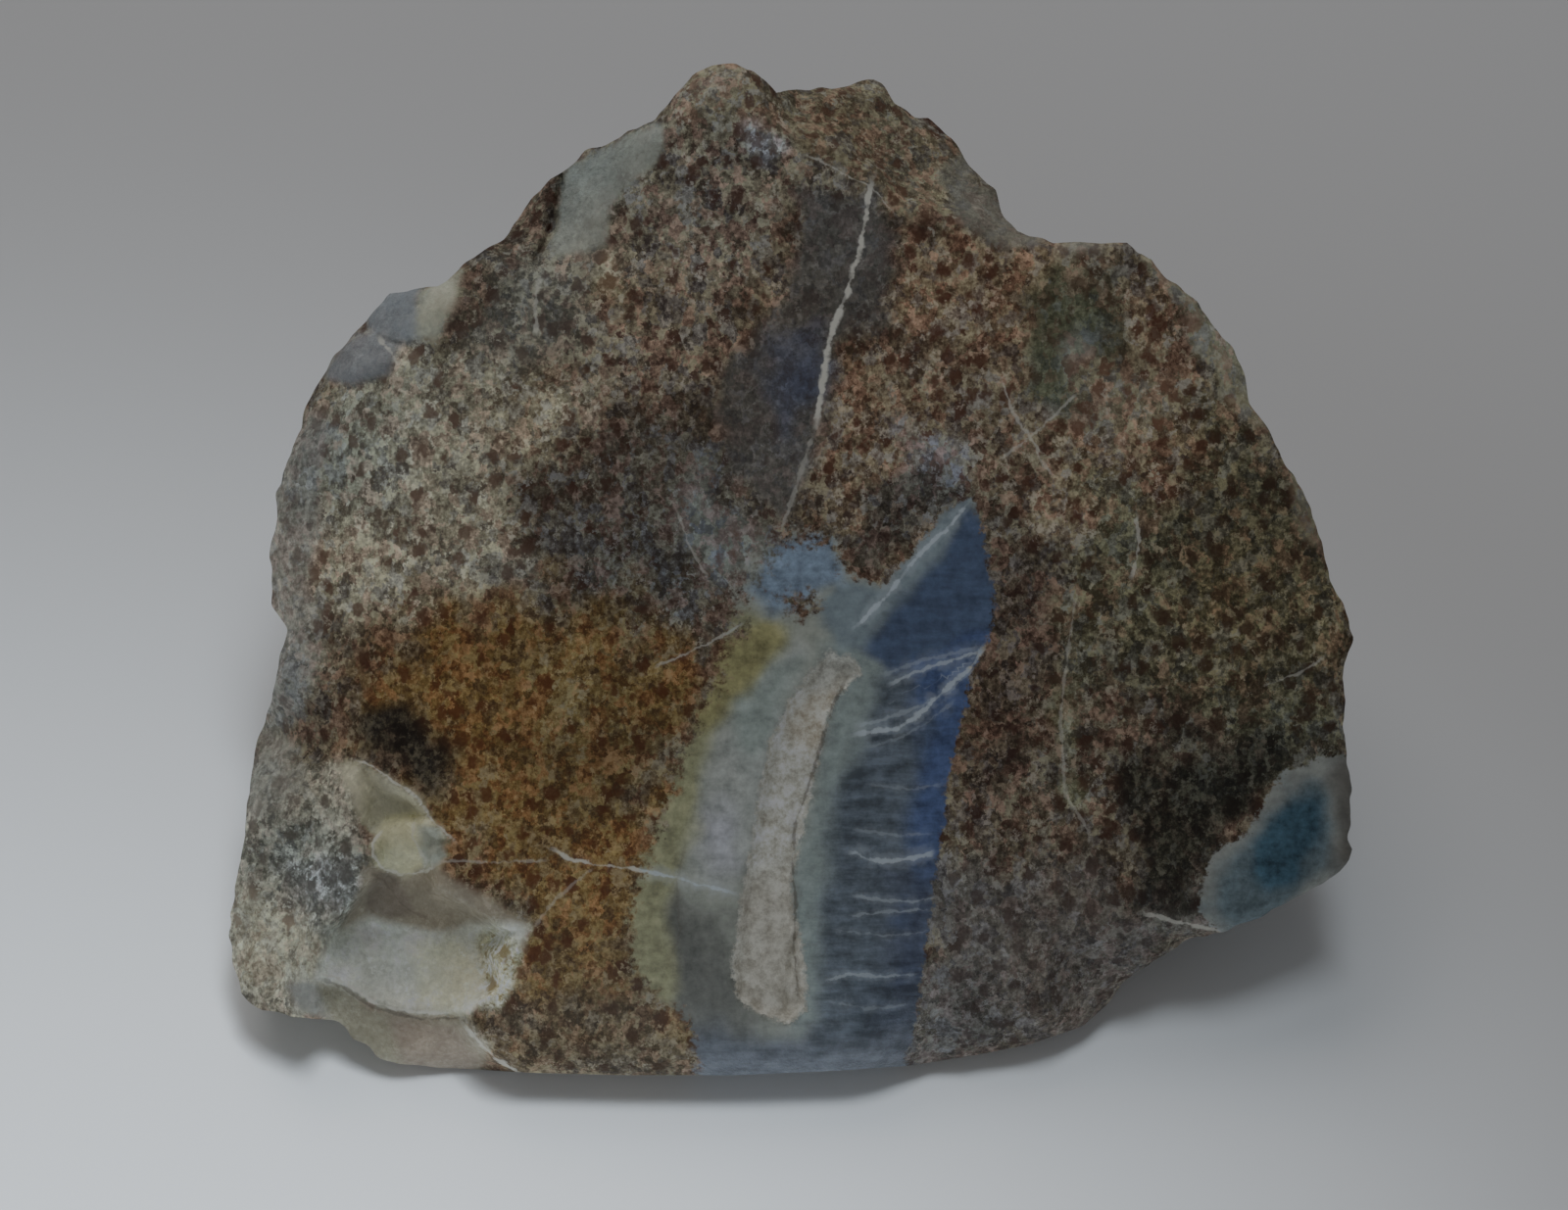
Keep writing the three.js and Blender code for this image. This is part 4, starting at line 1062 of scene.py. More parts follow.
VEINS_AND_PAINTED_EDGE_LINES = (
    Vein(VeinGroup.FIRST, [(892, 178), (888, 190), (885, 215), (880, 240), (876, 262), (868, 285),
                           (862, 305), (855, 322), (848, 340), (843, 360), (842, 375), (838, 400),
                           (834, 425), (830, 445)], 0.25),
    Vein(VeinGroup.FIRST, [(832, 432), (825, 458), (818, 480), (808, 510), (795, 545)], 0.18, 0.4),
    Vein(VeinGroup.SECOND, [(822, 158), (840, 165), (870, 183), (888, 190), (915, 220)], 0.1, 0.6),
    Vein(VeinGroup.FIRST, [(990, 512), (965, 540), (931, 574), (917, 592), (903, 610), (885, 628),
                           (868, 645)], 0.2, 0.9),
    Vein(VeinGroup.SECOND, [(1003, 664), (981, 671), (953, 680), (931, 687), (905, 700)], 0.16, 0.7),
    Vein(VeinGroup.THIRD, [(1005, 656), (994, 678), (971, 699), (953, 714), (935, 731), (914, 744),
                           (889, 747), (866, 752)], 0.22, 0.85),
    Vein(VeinGroup.FIRST, [(955, 870), (931, 876), (899, 880), (881, 874), (864, 869)], 0.2, 0.75),
    Vein(VeinGroup.SECOND, [(955, 915), (931, 921), (903, 919), (868, 914)], 0.13, 0.45),
    Vein(VeinGroup.THIRD, [(948, 928), (903, 931), (865, 935)], 0.11, 0.4),
    Vein(VeinGroup.FIRST, [(935, 994), (903, 997), (867, 994), (840, 1001)], 0.13, 0.5),
    Vein(VeinGroup.THIRD, [(560, 865), (585, 878), (614, 883), (649, 887), (685, 894), (714, 903),
                           (755, 913)], 0.17, 0.85),
    Vein(VeinGroup.SECOND, [(440, 878), (500, 880), (560, 878)], 0.1, 0.35),
    Vein(VeinGroup.SECOND, [(545, 945), (570, 915), (606, 885)], 0.14, 0.3),
    Vein(VeinGroup.SECOND, [(667, 681), (692, 671), (721, 658), (760, 635)], 0.12, 0.5),
    Vein(VeinGroup.FIRST, [(1020, 385), (1027, 400), (1033, 420), (1040, 432), (1050, 445),
                           (1057, 455), (1062, 470), (1075, 488)], 0.14, 0.55),
    Vein(VeinGroup.SECOND, [(1100, 400), (1075, 425), (1050, 447), (1020, 470)], 0.12, 0.45),
    Vein(VeinGroup.FIRST, [(1160, 525), (1162, 550), (1160, 570), (1154, 592)], 0.16, 0.6),
    Vein(VeinGroup.FIRST, [(1100, 600), (1092, 650), (1085, 705), (1082, 730), (1087, 810), (1095, 825),
                           (1103, 835), (1110, 845), (1114, 862)], 0.14, 0.32),
    Vein(VeinGroup.SECOND, [(1165, 932), (1200, 940), (1250, 952)], 0.15, 0.6),
    Vein(VeinGroup.THIRD, [(1290, 700), (1330, 685), (1352, 669)], 0.12, 0.4),
    Vein(VeinGroup.FIRST, [(474, 1046), (490, 1065), (505, 1080), (532, 1096)], 0.14, 0.8),
    Vein(VeinGroup.THIRD, [(550, 285), (546, 310), (547, 342)], 0.2, 0.6),
    Vein(VeinGroup.THIRD, [(385, 343), (395, 355), (406, 372)], 0.2, 0.8),
    # Painted highlight: the bright lip of the chip's shelf, where its edge catches the light.
    Vein(VeinGroup.SECOND, [(322, 993), (340, 997), (360, 1008), (380, 1022), (400, 1029), (430, 1033),
                            (465, 1034)], 0.13, 0.85),
    # Painted highlight along the raised upper edge of the chip.
    Vein(VeinGroup.THIRD, [(362, 776), (380, 782), (395, 793), (425, 813), (442, 838), (466, 860)],
         0.12, 0.8),
    # Painted highlight on the rim of the nub.
    Vein(VeinGroup.SECOND, [(392, 846), (381, 858), (380, 872), (390, 886), (410, 893), (436, 889),
                            (450, 880)], 0.13, 0.85),
    Vein(VeinGroup.FIRST, [(425, 835), (420, 852), (428, 868), (438, 884)], 0.1, 0.5),
    Vein(VeinGroup.THIRD, [(690, 520), (705, 560), (722, 590)], 0.12, 0.4),
    Vein(VeinGroup.FIRST, [(1003, 660), (968, 668), (935, 676), (898, 690)], 0.18, 0.35),
    Vein(VeinGroup.SECOND, [(996, 680), (968, 706), (935, 722), (900, 735), (868, 742)], 0.18, 0.45),
    Vein(VeinGroup.FIRST, [(975, 715), (945, 738), (915, 755), (880, 762)], 0.16, 0.3),
    Vein(VeinGroup.THIRD, [(962, 800), (930, 806), (885, 800)], 0.14, 0.25),
    Vein(VeinGroup.THIRD, [(950, 850), (915, 853), (870, 846)], 0.14, 0.3),
    Vein(VeinGroup.FIRST, [(948, 950), (905, 955), (850, 950)], 0.14, 0.3),
    Vein(VeinGroup.THIRD, [(930, 1025), (890, 1030), (845, 1022)], 0.16, 0.3),
    Vein(VeinGroup.CRACKS, [(868, 685), (849, 721), (838, 760), (826, 800), (812, 840), (808, 880),
                            (812, 917), (810, 969), (816, 1030)], 0.13, 0.8),
    Vein(VeinGroup.CRACKS, [(700, 860), (690, 900), (694, 950), (680, 990)], 0.12, 0.35),
    # Painted shadow: a dark line under the lip of the shelf, where the edge turns down from the light.
    Vein(VeinGroup.CRACKS, [(322, 999), (340, 1003), (360, 1014), (380, 1028), (430, 1040),
                            (480, 1038)], 0.16, 0.7),
    # Painted shadow in the crease of the hollow under the nub.
    Vein(VeinGroup.CRACKS, [(378, 890), (392, 900), (412, 925), (440, 940)], 0.12, 0.4),
)


@dataclass(frozen=True)
class Markings:
    """Colours and marks of the stone at each vertex, from its place and whether it is on the back."""

    vein_start: Pair = (-0.02, 0.08)
    vein_end: Pair = (0.9, 1.02)
    vein_fade: Pair = (0.8, 1.2)
    vein_depths: Pair = (2.0, 9.0)
    far: float = 9.0
    least_width: float = 0.1
    skin: float = 2.0
    drift: float = 0.18
    brightness_waves: Run = ((9.0, 0.18), (4.0, 0.20), (2.0, 0.18))
    warmth_waves: Run = ((12.0, 0.10), (5.0, 0.06))
    front_variation: float = 0.75
    gap_ease: float = 0.5
    least_softness: float = 0.28
    cloudy_softness: float = 1.3
    cloudy_across: Pair = (-1.0, 8.0)
    cloudy_up: Pair = (-4.0, 2.0)
    left_softness: float = 0.5
    left_across: Pair = (-6.0, 4.0)
    ground_until: Pair = (0.15, 0.9)
    rim_until: Pair = (0.2, 1.0)
    back_fade: Pair = (4.0, 12.0)
    teal_taper: float = 0.1
    core_taper: float = 0.15
    back_roughness: float = 3.0

    def painted(self, base: Palette, zones: tuple[Zone, ...], p: Array, q: Array) -> dict[str, Array]:
        """Palettes laid over each other: each zone takes the share of its weight from what is there.

        Args:
            base: The palette under all zones.
            zones: The zones from the lowest to the highest.
            p: Places across.
            q: Places up.

        Returns:
            Rows of the dark, middle and light colours, and the strengths of the grain and its hues.
        """
        full = np.ones((len(p), 1))
        made = {name: full * np.array(getattr(base, name)) for name in ("dark", "middle", "light")}
        made["grain"] = full * base.grain
        made["hue"] = full * base.hue
        for n, zone in enumerate(zones):
            weight = zone.weight(p, q, Seed.ZONES + 3 * n)[:, None]
            for name in made:
                made[name] += (np.array(getattr(zone.palette, name)) - made[name]) * weight
        return made

    def varied(self, made: dict[str, Array], place: Array, amount: Array) -> None:
        """Multiplies the palettes by slow waves of brightness and warmth, 1 plus a share of each.

        Args:
            made: Palettes from painted, changed in place.
            place: Rows of u, v and w in millimetres.
            amount: How strong the variation is at each vertex.
        """
        x, y, z = place.T
        bright = waves(self.brightness_waves, x, y, z, Seed.BRIGHTNESS) * amount
        warm = waves(self.warmth_waves, x, y, z, Seed.WARMTH) * amount
        tint = np.column_stack([1 + bright + warm, 1 + bright, 1 + bright - warm])
        for name in ("dark", "middle", "light"):
            made[name] *= tint

    def veins(self, p: Array, q: Array, depth: Array) -> dict[str, Array]:
        """Nearest line's distance, half width and strength for each group of veins and painted edge lines.

        Strength fades with the distance, at both ends of a vein, and with the depth behind the face.

        Args:
            p: Places across.
            q: Places up.
            depth: Depth of each vertex below the front.

        Returns:
            One array for each group's name.
        """
        made = {}
        for group in VeinGroup:
            across = np.full(len(p), self.far)
            width = np.full(len(p), self.least_width)
            strength = np.zeros(len(p))
            for vein in (v for v in VEINS_AND_PAINTED_EDGE_LINES if v.group is group):
                beside, share = beside_line(on_face(vein.line), p, q)
                closer = np.abs(beside) < np.abs(across)
                ends = ease(share, *self.vein_start) * (1 - ease(share, *self.vein_end))
                mine = vein.strength * ends * (1 - ease(np.abs(beside), *self.vein_fade))
                across = np.where(closer, beside, across)
                width = np.where(closer, vein.half_width, width)
                strength = np.where(closer, mine, strength)
            strength = strength * (1 - ease(depth, *self.vein_depths))
            made[group.value] = np.column_stack([across, width, strength])
        return made

    def edge_softness(self, p: Array, q: Array) -> Array:
        """How soft the edge of the vein's body is.

        It is least at the right, softer to the left, and softest where the vein's upper end fades
        into the rock like a cloud.

        Args:
            p: Places across.
            q: Places up.

        Returns:
            The width of the edge in millimetres.
        """
        cloudy = self.cloudy_softness * (1 - ease(p, *self.cloudy_across)) * ease(q, *self.cloudy_up)
        return self.least_softness + cloudy + self.left_softness * (1 - ease(p, *self.left_across))

    def all(self, form: StoneForm, place: Array, flat: Array, back: Array) -> dict[str, Array]:
        """Every attribute of the mesh.

        Args:
            form: The stone's form.
            place: Rows of u, v and w in millimetres.
            flat: Rows of p and q on the layout.
            back: 1 for vertices of the back, 0 for the front.

        Returns:
            Arrays by attribute name: colours, numbers and vectors.
        """
        depth = np.maximum(-place[:, 2] - self.skin, 0) * back
        p = flat[:, 0] + self.drift * depth
        q = flat[:, 1]
        rock = self.painted(MATRIX, ROCK_ZONES, p, q)
        self.varied(rock, place, self.front_variation + (1 - self.front_variation) * back)
        vein = self.painted(VEIN_BASE, VEIN_ZONES, p, q)
        core = self.painted(CORE_BASE, CORE_ZONES, p, q)
        body = inside_distance(on_face(VEIN_BODY), p, q)
        for gap in VEIN_GAPS:
            body = np.minimum(body, self.gap_ease - inside_distance(on_face(gap), p, q))
        teal = inside_distance(on_face(TEAL_PATCH), p, q) - self.teal_taper * depth
        inner = inside_distance(np.array(form.core_outline), p, q) - self.core_taper * depth
        broken = form.broken_depth(p, q) * (1 - back) + self.back_roughness * back
        ground = 1 - ease(broken, *self.ground_until)
        rim = form.rim_drop(flat[:, 0], flat[:, 1]) * (1 - back)
        palettes = {"rock": rock, "vein": vein, "core": core}
        made = {f"{part}_{name}": value
                for part, palette in palettes.items() for name, value in palette.items()}
        made["regions"] = np.column_stack([np.maximum(body, teal), inner, self.edge_softness(p, q)])
        made["ground"] = (ground * (1 - ease(rim, *self.rim_until)))[:, None]
        return made | self.veins(p, q, depth + self.far * back * ease(depth, *self.back_fade))


@dataclass
class Wiring:
    """Adds nodes to one shader tree. A plain value is set on the socket, and a socket is joined to it."""

    tree: bpy.types.ShaderNodeTree

    def put(self, socket: bpy.types.NodeSocket, value: object) -> None:
        """Joins a socket to another, or sets its value."""
        if isinstance(value, bpy.types.NodeSocket):
            self.tree.links.new(value, socket)
        else:
            socket.default_value = value

    def node(self, kind: str, inputs: dict, **settings: object) -> bpy.types.Node:
        """Adds one node.

        Args:
            kind: The node's type.
            inputs: Values or sockets by the input's name or number.
            settings: The node's own properties.

        Returns:
            The node.
        """
        made = self.tree.nodes.new(kind)
        for name, value in settings.items():
            setattr(made, name, value)
        for name, value in inputs.items():
            self.put(made.inputs[name], value)
        return made

    def math(self, operation: str, *values: object, clamp: bool = False) -> bpy.types.NodeSocket:
        """The result of a Math node."""
        return self.node("ShaderNodeMath", dict(enumerate(values)), operation=operation,
                         use_clamp=clamp).outputs[0]

    def times(self, first: object, second: object, clamp: bool = False) -> bpy.types.NodeSocket:
        """The product of two numbers."""
        return self.math("MULTIPLY", first, second, clamp=clamp)

    def plus(self, first: object, second: object, clamp: bool = False) -> bpy.types.NodeSocket:
        """The sum of two numbers."""
        return self.math("ADD", first, second, clamp=clamp)

    def about_half(self, value: object, scale: object) -> bpy.types.NodeSocket:
        """A value less one half, times a scale, so that a noise swings as far down as up."""
        return self.times(self.math("SUBTRACT", value, 0.5), scale)

    def vector(self, operation: str, *values: object) -> bpy.types.NodeSocket:
        """The result of a Vector Math node."""
        return self.node("ShaderNodeVectorMath", dict(enumerate(values)), operation=operation).outputs[0]

    def scaled(self, vector: object, scale: object) -> bpy.types.NodeSocket:
        """A vector times a number."""
        return self.node("ShaderNodeVectorMath", {"Vector": vector, "Scale": scale},
                         operation="SCALE").outputs[0]

    def mix(self, share: object, first: object, second: object, blend: str = "MIX") -> bpy.types.NodeSocket:
        """The result of mixing two colours."""
        inputs = {0: share, 6: first, 7: second}
        return self.node("ShaderNodeMix", inputs, data_type="RGBA", blend_type=blend).outputs[2]

    def step(self, value: object, low: object, high: object, start: object = 0.0,
             end: object = 1.0) -> bpy.types.NodeSocket:
        """A smooth step from start at low to end at high."""
        return self.node("ShaderNodeMapRange", {0: value, 1: low, 2: high, 3: start, 4: end},
                         interpolation_type="SMOOTHSTEP").outputs[0]

    def noise(self, vector: object, scale: float, detail: float = 2.0,
              roughness: float = 0.5) -> bpy.types.Node:
        """A Noise Texture node."""
        return self.node("ShaderNodeTexNoise", {"Vector": vector, "Scale": scale, "Detail": detail,
                                                "Roughness": roughness})

    def split(self, vector: object) -> tuple[bpy.types.NodeSocket, ...]:
        """The three numbers of a vector or colour."""
        return tuple(self.node("ShaderNodeSeparateXYZ", {0: vector}).outputs)

    def attribute(self, name: str, output: str) -> bpy.types.NodeSocket:
        """One output of an Attribute node."""
        return self.node("ShaderNodeAttribute", {}, attribute_name=name).outputs[output]

    def group(self, tree: bpy.types.ShaderNodeTree, **inputs: object) -> dict[str, bpy.types.NodeSocket]:
        """Adds a node group and returns its outputs by name."""
        made = self.node("ShaderNodeGroup", {}, node_tree=tree)
        for name, value in inputs.items():
            self.put(made.inputs[name.replace("_", " ").capitalize()], value)
        return {socket.name: socket for socket in made.outputs}


@dataclass
class Effect:
    """One shader node group: its name, and its inputs with their defaults."""

    name: str
    inputs: dict[str, object]
    outputs: tuple[str, ...]
    tree: bpy.types.ShaderNodeTree = field(init=False)
    wiring: Wiring = field(init=False)
    given: dict[str, bpy.types.NodeSocket] = field(init=False)

    def __post_init__(self) -> None:
        """Makes the group with its sockets: a vector for a tuple, otherwise a number."""
        self.tree = bpy.data.node_groups.new(self.name, "ShaderNodeTree")
        for name, value in self.inputs.items():
            kind = "NodeSocketVector" if isinstance(value, tuple) else "NodeSocketFloat"
            self.tree.interface.new_socket(name, in_out="INPUT", socket_type=kind).default_value = value
        for name in self.outputs:
            self.tree.interface.new_socket(name, in_out="OUTPUT", socket_type="NodeSocketFloat")
        self.wiring = Wiring(self.tree)
        start = self.tree.nodes.new("NodeGroupInput")
        self.given = {socket.name: socket for socket in start.outputs if socket.name}

    def finish(self, *results: bpy.types.NodeSocket) -> bpy.types.ShaderNodeTree:
        """Joins the results to the outputs in order, and returns the group's tree."""
        end = self.tree.nodes.new("NodeGroupOutput")
        for socket, result in zip(end.inputs, results):
            self.tree.links.new(result, socket)
        return self.tree


def grain_mosaic() -> bpy.types.ShaderNodeTree:
    """A mosaic of mineral grains.

    Two sizes of Voronoi cells, warped by noise, each hold fixed numbers. Shade is a weighted sum of
    one number of each and fine noise, spread out around its middle. Tint is a sum of their second
    numbers. Spots are the round middles of some of the larger cells. Painted highlights are a few
    small cells where the colour is later lightened, as if crystals caught the light.

    Returns:
        The node group.
    """
    effect = Effect("Grain mosaic", {"Position": (0.0, 0.0, 0.0), "Size": 1.0, "Contrast": 1.0},
                    ("Shade", "Tint", "Spots", "Painted highlights"))
    w, given = effect.wiring, effect.given
    place = w.scaled(given["Position"], w.math("DIVIDE", 1.0, given["Size"]))
    warp = w.vector("SUBTRACT", w.noise(place, 2.0, 2.0, 0.6).outputs["Color"], (0.5, 0.5, 0.5))
    warped = w.vector("ADD", place, w.scaled(warp, 1.1))
    cells = [w.node("ShaderNodeTexVoronoi", {"Vector": warped, "Scale": scale}, feature="F1")
             for scale in (0.8, 1.9)]
    large, small = (w.split(cell.outputs["Color"]) for cell in cells)
    fine = w.noise(place, 2.6, 4.0, 0.75).outputs["Fac"]
    total = w.times(large[0], 0.22)
    for value, share in ((small[0], 0.26), (fine, 1.2)):
        total = w.plus(total, w.times(value, share))
    spread = w.times(w.math("SUBTRACT", total, 0.84), w.times(given["Contrast"], 2.3))
    shade = w.plus(spread, 0.5, clamp=True)
    tint = w.plus(w.times(large[1], 0.5), w.times(small[1], 0.5))
    chosen = w.step(large[2], 0.55, 0.6)
    spot = w.times(w.step(cells[0].outputs["Distance"], 0.25, 0.5, 1.0, 0.0), chosen)
    # Painted highlights: a few small cells where the grains are lightened as if they caught the light.
    painted_highlight = w.times(w.step(small[2], 0.88, 0.92), w.step(fine, 0.45, 0.6))
    return effect.finish(shade, tint, spot, painted_highlight)


def ragged_edge() -> bpy.types.ShaderNodeTree:
    """A mask from a distance: a smooth step of the distance plus noise of a given reach.

    Returns:
        The node group.
    """
    inputs = {"Distance": 0.0, "Noise": 0.5, "Reach": 0.3, "Softness": 0.2}
    effect = Effect("Ragged edge", inputs, ("Mask",))
    w, given = effect.wiring, effect.given
    moved = w.about_half(given["Noise"], w.times(given["Reach"], 4.0))
    distance = w.plus(given["Distance"], moved)
    low = w.times(given["Softness"], -1.0)
    return effect.finish(w.step(distance, low, given["Softness"]))


def vein_line() -> bpy.types.ShaderNodeTree:
    """A line mask for veins and painted edge lines: distance beside the line, half width and strength.

    The distance wobbles and the width varies with two noises. The mask is strong inside the width,
    and a halo of a given strength fades out at four and a half times the width.

    Returns:
        The node group.
    """
    inputs = {"Line": (9.0, 0.1, 0.0), "Wobble": 0.5, "Breaks": 0.5, "Halo": 0.1}
    effect = Effect("Vein line", inputs, ("Mask",))
    w, given = effect.wiring, effect.given
    across, width, strength = w.split(given["Line"])
    moved = w.about_half(given["Wobble"], 0.6)
    beside = w.math("ABSOLUTE", w.plus(across, moved))
    varied = w.times(width, w.step(given["Breaks"], 0.3, 0.7, 0.45, 1.7))
    share = w.math("DIVIDE", beside, varied)
    halo = w.times(w.step(share, 0.2, 4.5, 1.0, 0.0), given["Halo"])
    line = w.math("MAXIMUM", w.step(share, 0.4, 1.2, 0.92, 0.0), halo)
    broken = w.step(given["Breaks"], 0.32, 0.5, 0.45, 1.0)
    return effect.finish(w.times(w.times(line, strength), broken))


def grinding_marks() -> bpy.types.ShaderNodeTree:
    """Fine scratches that run up the ground face: noise squeezed across and drawn out along it.

    Returns:
        The node group.
    """
    effect = Effect("Grinding marks", {"Position": (0.0, 0.0, 0.0)}, ("Marks",))
    w, given = effect.wiring, effect.given
    lines = w.noise(w.vector("MULTIPLY", given["Position"], (5.0, 0.25, 0.25)), 1.0, 3.0, 0.7)
    return effect.finish(lines.outputs["Fac"])


def cross_fibres() -> bpy.types.ShaderNodeTree:
    """Wisps that run across the vein: noise drawn out across it and squeezed along it.

    Returns:
        The node group.
    """
    effect = Effect("Cross fibres", {"Position": (0.0, 0.0, 0.0)}, ("Wisps",))
    w, given = effect.wiring, effect.given
    turned = w.node("ShaderNodeMapping", {"Vector": given["Position"],
                                          "Rotation": (0.0, 0.0, math.radians(-12)),
                                          "Scale": (0.24, 1.3, 0.6)}).outputs[0]
    wisps = w.noise(turned, 1.0, 4.0, 0.62)
    return effect.finish(wisps.outputs["Fac"])


@dataclass(frozen=True)
class StoneFinish:
    """The whole stone's material: granular rock, the vein's body, its porous core and hairlines."""

    grain_size: float = 1.2
    grain_stretch: Place = (1.0, 0.88, 1.0)
    grain_shadow: float = 1.3
    spot_strength: float = 0.85
    painted_highlight_strength: float = 0.6
    cloud_contrast: float = 2.6
    wisp_contrast: float = 3.4
    crack_and_shadow_strength: float = 0.8
    halo_on_rock: float = 0.06
    halo_on_vein: float = 0.34
    scratch_on_rock: float = 0.09
    scratch_on_vein: float = 0.02
    vein_and_highlight_cream: Colour = (0.80, 0.78, 0.69)
    vein_white: Colour = (0.66, 0.73, 0.78)
    vein_wisp: Colour = (0.30, 0.37, 0.46)
    crack_and_shadow_brown: Colour = (0.11, 0.085, 0.06)
    scratch_white: Colour = (0.5, 0.5, 0.48)
    red_shift: Colour = (1.17, 0.96, 0.86)
    olive_shift: Colour = (1.0, 1.05, 0.88)
    grey_shift: Colour = (0.92, 1.0, 1.08)
    # Painted highlights: how strongly a few grains are lightened, and the bluish white they are lifted to.
    spot_shift: Colour = (1.1, 0.72, 0.58)
    painted_highlight_shift: Colour = (1.25, 1.3, 1.3)
    ground_roughness: float = 0.42
    broken_roughness: float = 0.72
    vein_roughness: float = 0.36
    core_roughness: float = 0.85
    uneven_roughness: float = 0.3
    specular: float = 0.3
    relief_strength: float = 0.9
    relief_height: float = 0.25
    ground_relief: float = 0.08
    crumb_relief: float = 0.9
    scratch_relief: float = 0.04

    def material(self) -> bpy.types.Material:
        """Builds the material from the mesh's attributes and patterns on Object coordinates.

        Returns:
            The material.
        """
        made = bpy.data.materials.new("Veined skarn")
        made.use_nodes = True
        made.node_tree.nodes.clear()
        w = Wiring(made.node_tree)
        position = self.position(w)
        marks = w.group(grinding_marks(), Position=position)["Marks"]
        wobble = w.noise(position, 1.3, 3.0, 0.65).outputs["Fac"]
        breaks = w.noise(position, 0.8, 2.0, 0.6).outputs["Fac"]
        rock, fine = self.rock(w, position)
        body = self.vein_body(w, position)
        core, crumbs = self.core(w, position)
        edges = ragged_edge()
        body_at, core_at, softness = w.split(w.attribute("regions", "Vector"))
        ground = w.attribute("ground", "Fac")
        grainy = w.plus(w.times(wobble, 0.5), w.times(fine, 0.5))
        reach = w.math("MULTIPLY_ADD", softness, 1.5, 0.3)
        in_body = w.group(edges, Distance=body_at, Noise=grainy, Reach=reach,
                          Softness=w.times(softness, 0.7))["Mask"]
        in_core = w.group(edges, Distance=core_at, Noise=grainy, Reach=0.55, Softness=0.25)["Mask"]
        colour = w.mix(in_body, rock, body)
        colour = w.mix(in_core, colour, core)
        lines = vein_line()
        halo = w.step(in_body, 0.0, 1.0, self.halo_on_rock, self.halo_on_vein)
        masks = [w.group(lines, Line=w.attribute(group.value, "Vector"), Wobble=wobble, Breaks=breaks,
                         Halo=halo)["Mask"] for group in VeinGroup]
        # The last group is dark: real cracks, and painted shadow lines under the chip's lip and in its
        # hollow.
        crack = w.times(masks.pop(), self.crack_and_shadow_strength)
        # The other groups are pale veins and painted highlights on the chip's edges, cream on the rock and
        # white in the vein.
        line = w.math("MAXIMUM", w.math("MAXIMUM", masks[0], masks[1]), masks[2])
        white = w.mix(in_body, (*self.vein_and_highlight_cream, 1.0), (*self.vein_white, 1.0))
        colour = w.mix(line, colour, white)
        colour = w.mix(crack, colour, (*self.crack_and_shadow_brown, 1.0))
        scratch = w.step(marks, 0.6, 0.8)
        share = w.step(in_body, 0.0, 1.0, self.scratch_on_rock, self.scratch_on_vein)
        scratch = w.times(w.times(scratch, ground), share)
        colour = w.mix(scratch, colour, (*self.scratch_white, 1.0))
        rough = w.step(ground, 0.0, 1.0, self.broken_roughness, self.ground_roughness)
        rough = w.step(in_body, 0.0, 1.0, rough, self.vein_roughness)
        rough = w.step(in_core, 0.0, 1.0, rough, self.core_roughness)
        rough = w.plus(rough, w.about_half(wobble, self.uneven_roughness))
        relief = w.times(fine, w.step(ground, 0.0, 1.0, 1.0, self.ground_relief))
        relief = w.plus(relief, w.times(w.times(crumbs, in_core), self.crumb_relief))
        relief = w.plus(relief, w.times(marks, self.scratch_relief))
        bump = w.node("ShaderNodeBump", {"Strength": self.relief_strength, "Height": relief,
                                         "Distance": self.relief_height * MM})
        shader = w.node("ShaderNodeBsdfPrincipled", {"Base Color": colour, "Roughness": rough,
                                                     "Normal": bump.outputs[0]})
        shader.inputs["Specular IOR Level"].default_value = self.specular
        out = w.node("ShaderNodeOutputMaterial", {"Surface": shader.outputs[0]})
        out.is_active_output = True
        return made

    def position(self, w: Wiring) -> bpy.types.NodeSocket:
        """Object coordinates in millimetres, turned so that the first two lie in the ground face."""
        coordinates = w.node("ShaderNodeTexCoord", {}).outputs["Object"]
        turn = -(math.pi / 2 - FACE_ELEVATION)
        inputs = {"Vector": coordinates, "Rotation": (turn, 0.0, 0.0), "Scale": (1 / MM, 1 / MM, 1 / MM)}
        return w.node("ShaderNodeMapping", inputs).outputs[0]

    def shaded(self, w: Wiring, name: str, shade: object) -> bpy.types.NodeSocket:
        """A colour of a painted palette: dark to middle to light as the shade goes from 0 to 1."""
        colours = [w.attribute(f"{name}_{part}", "Color") for part in ("dark", "middle", "light")]
        dark, middle, light = colours
        low = w.mix(w.times(shade, 2.0, clamp=True), dark, middle)
        return w.mix(w.math("MULTIPLY_ADD", shade, 2.0, -1.0, clamp=True), low, light)

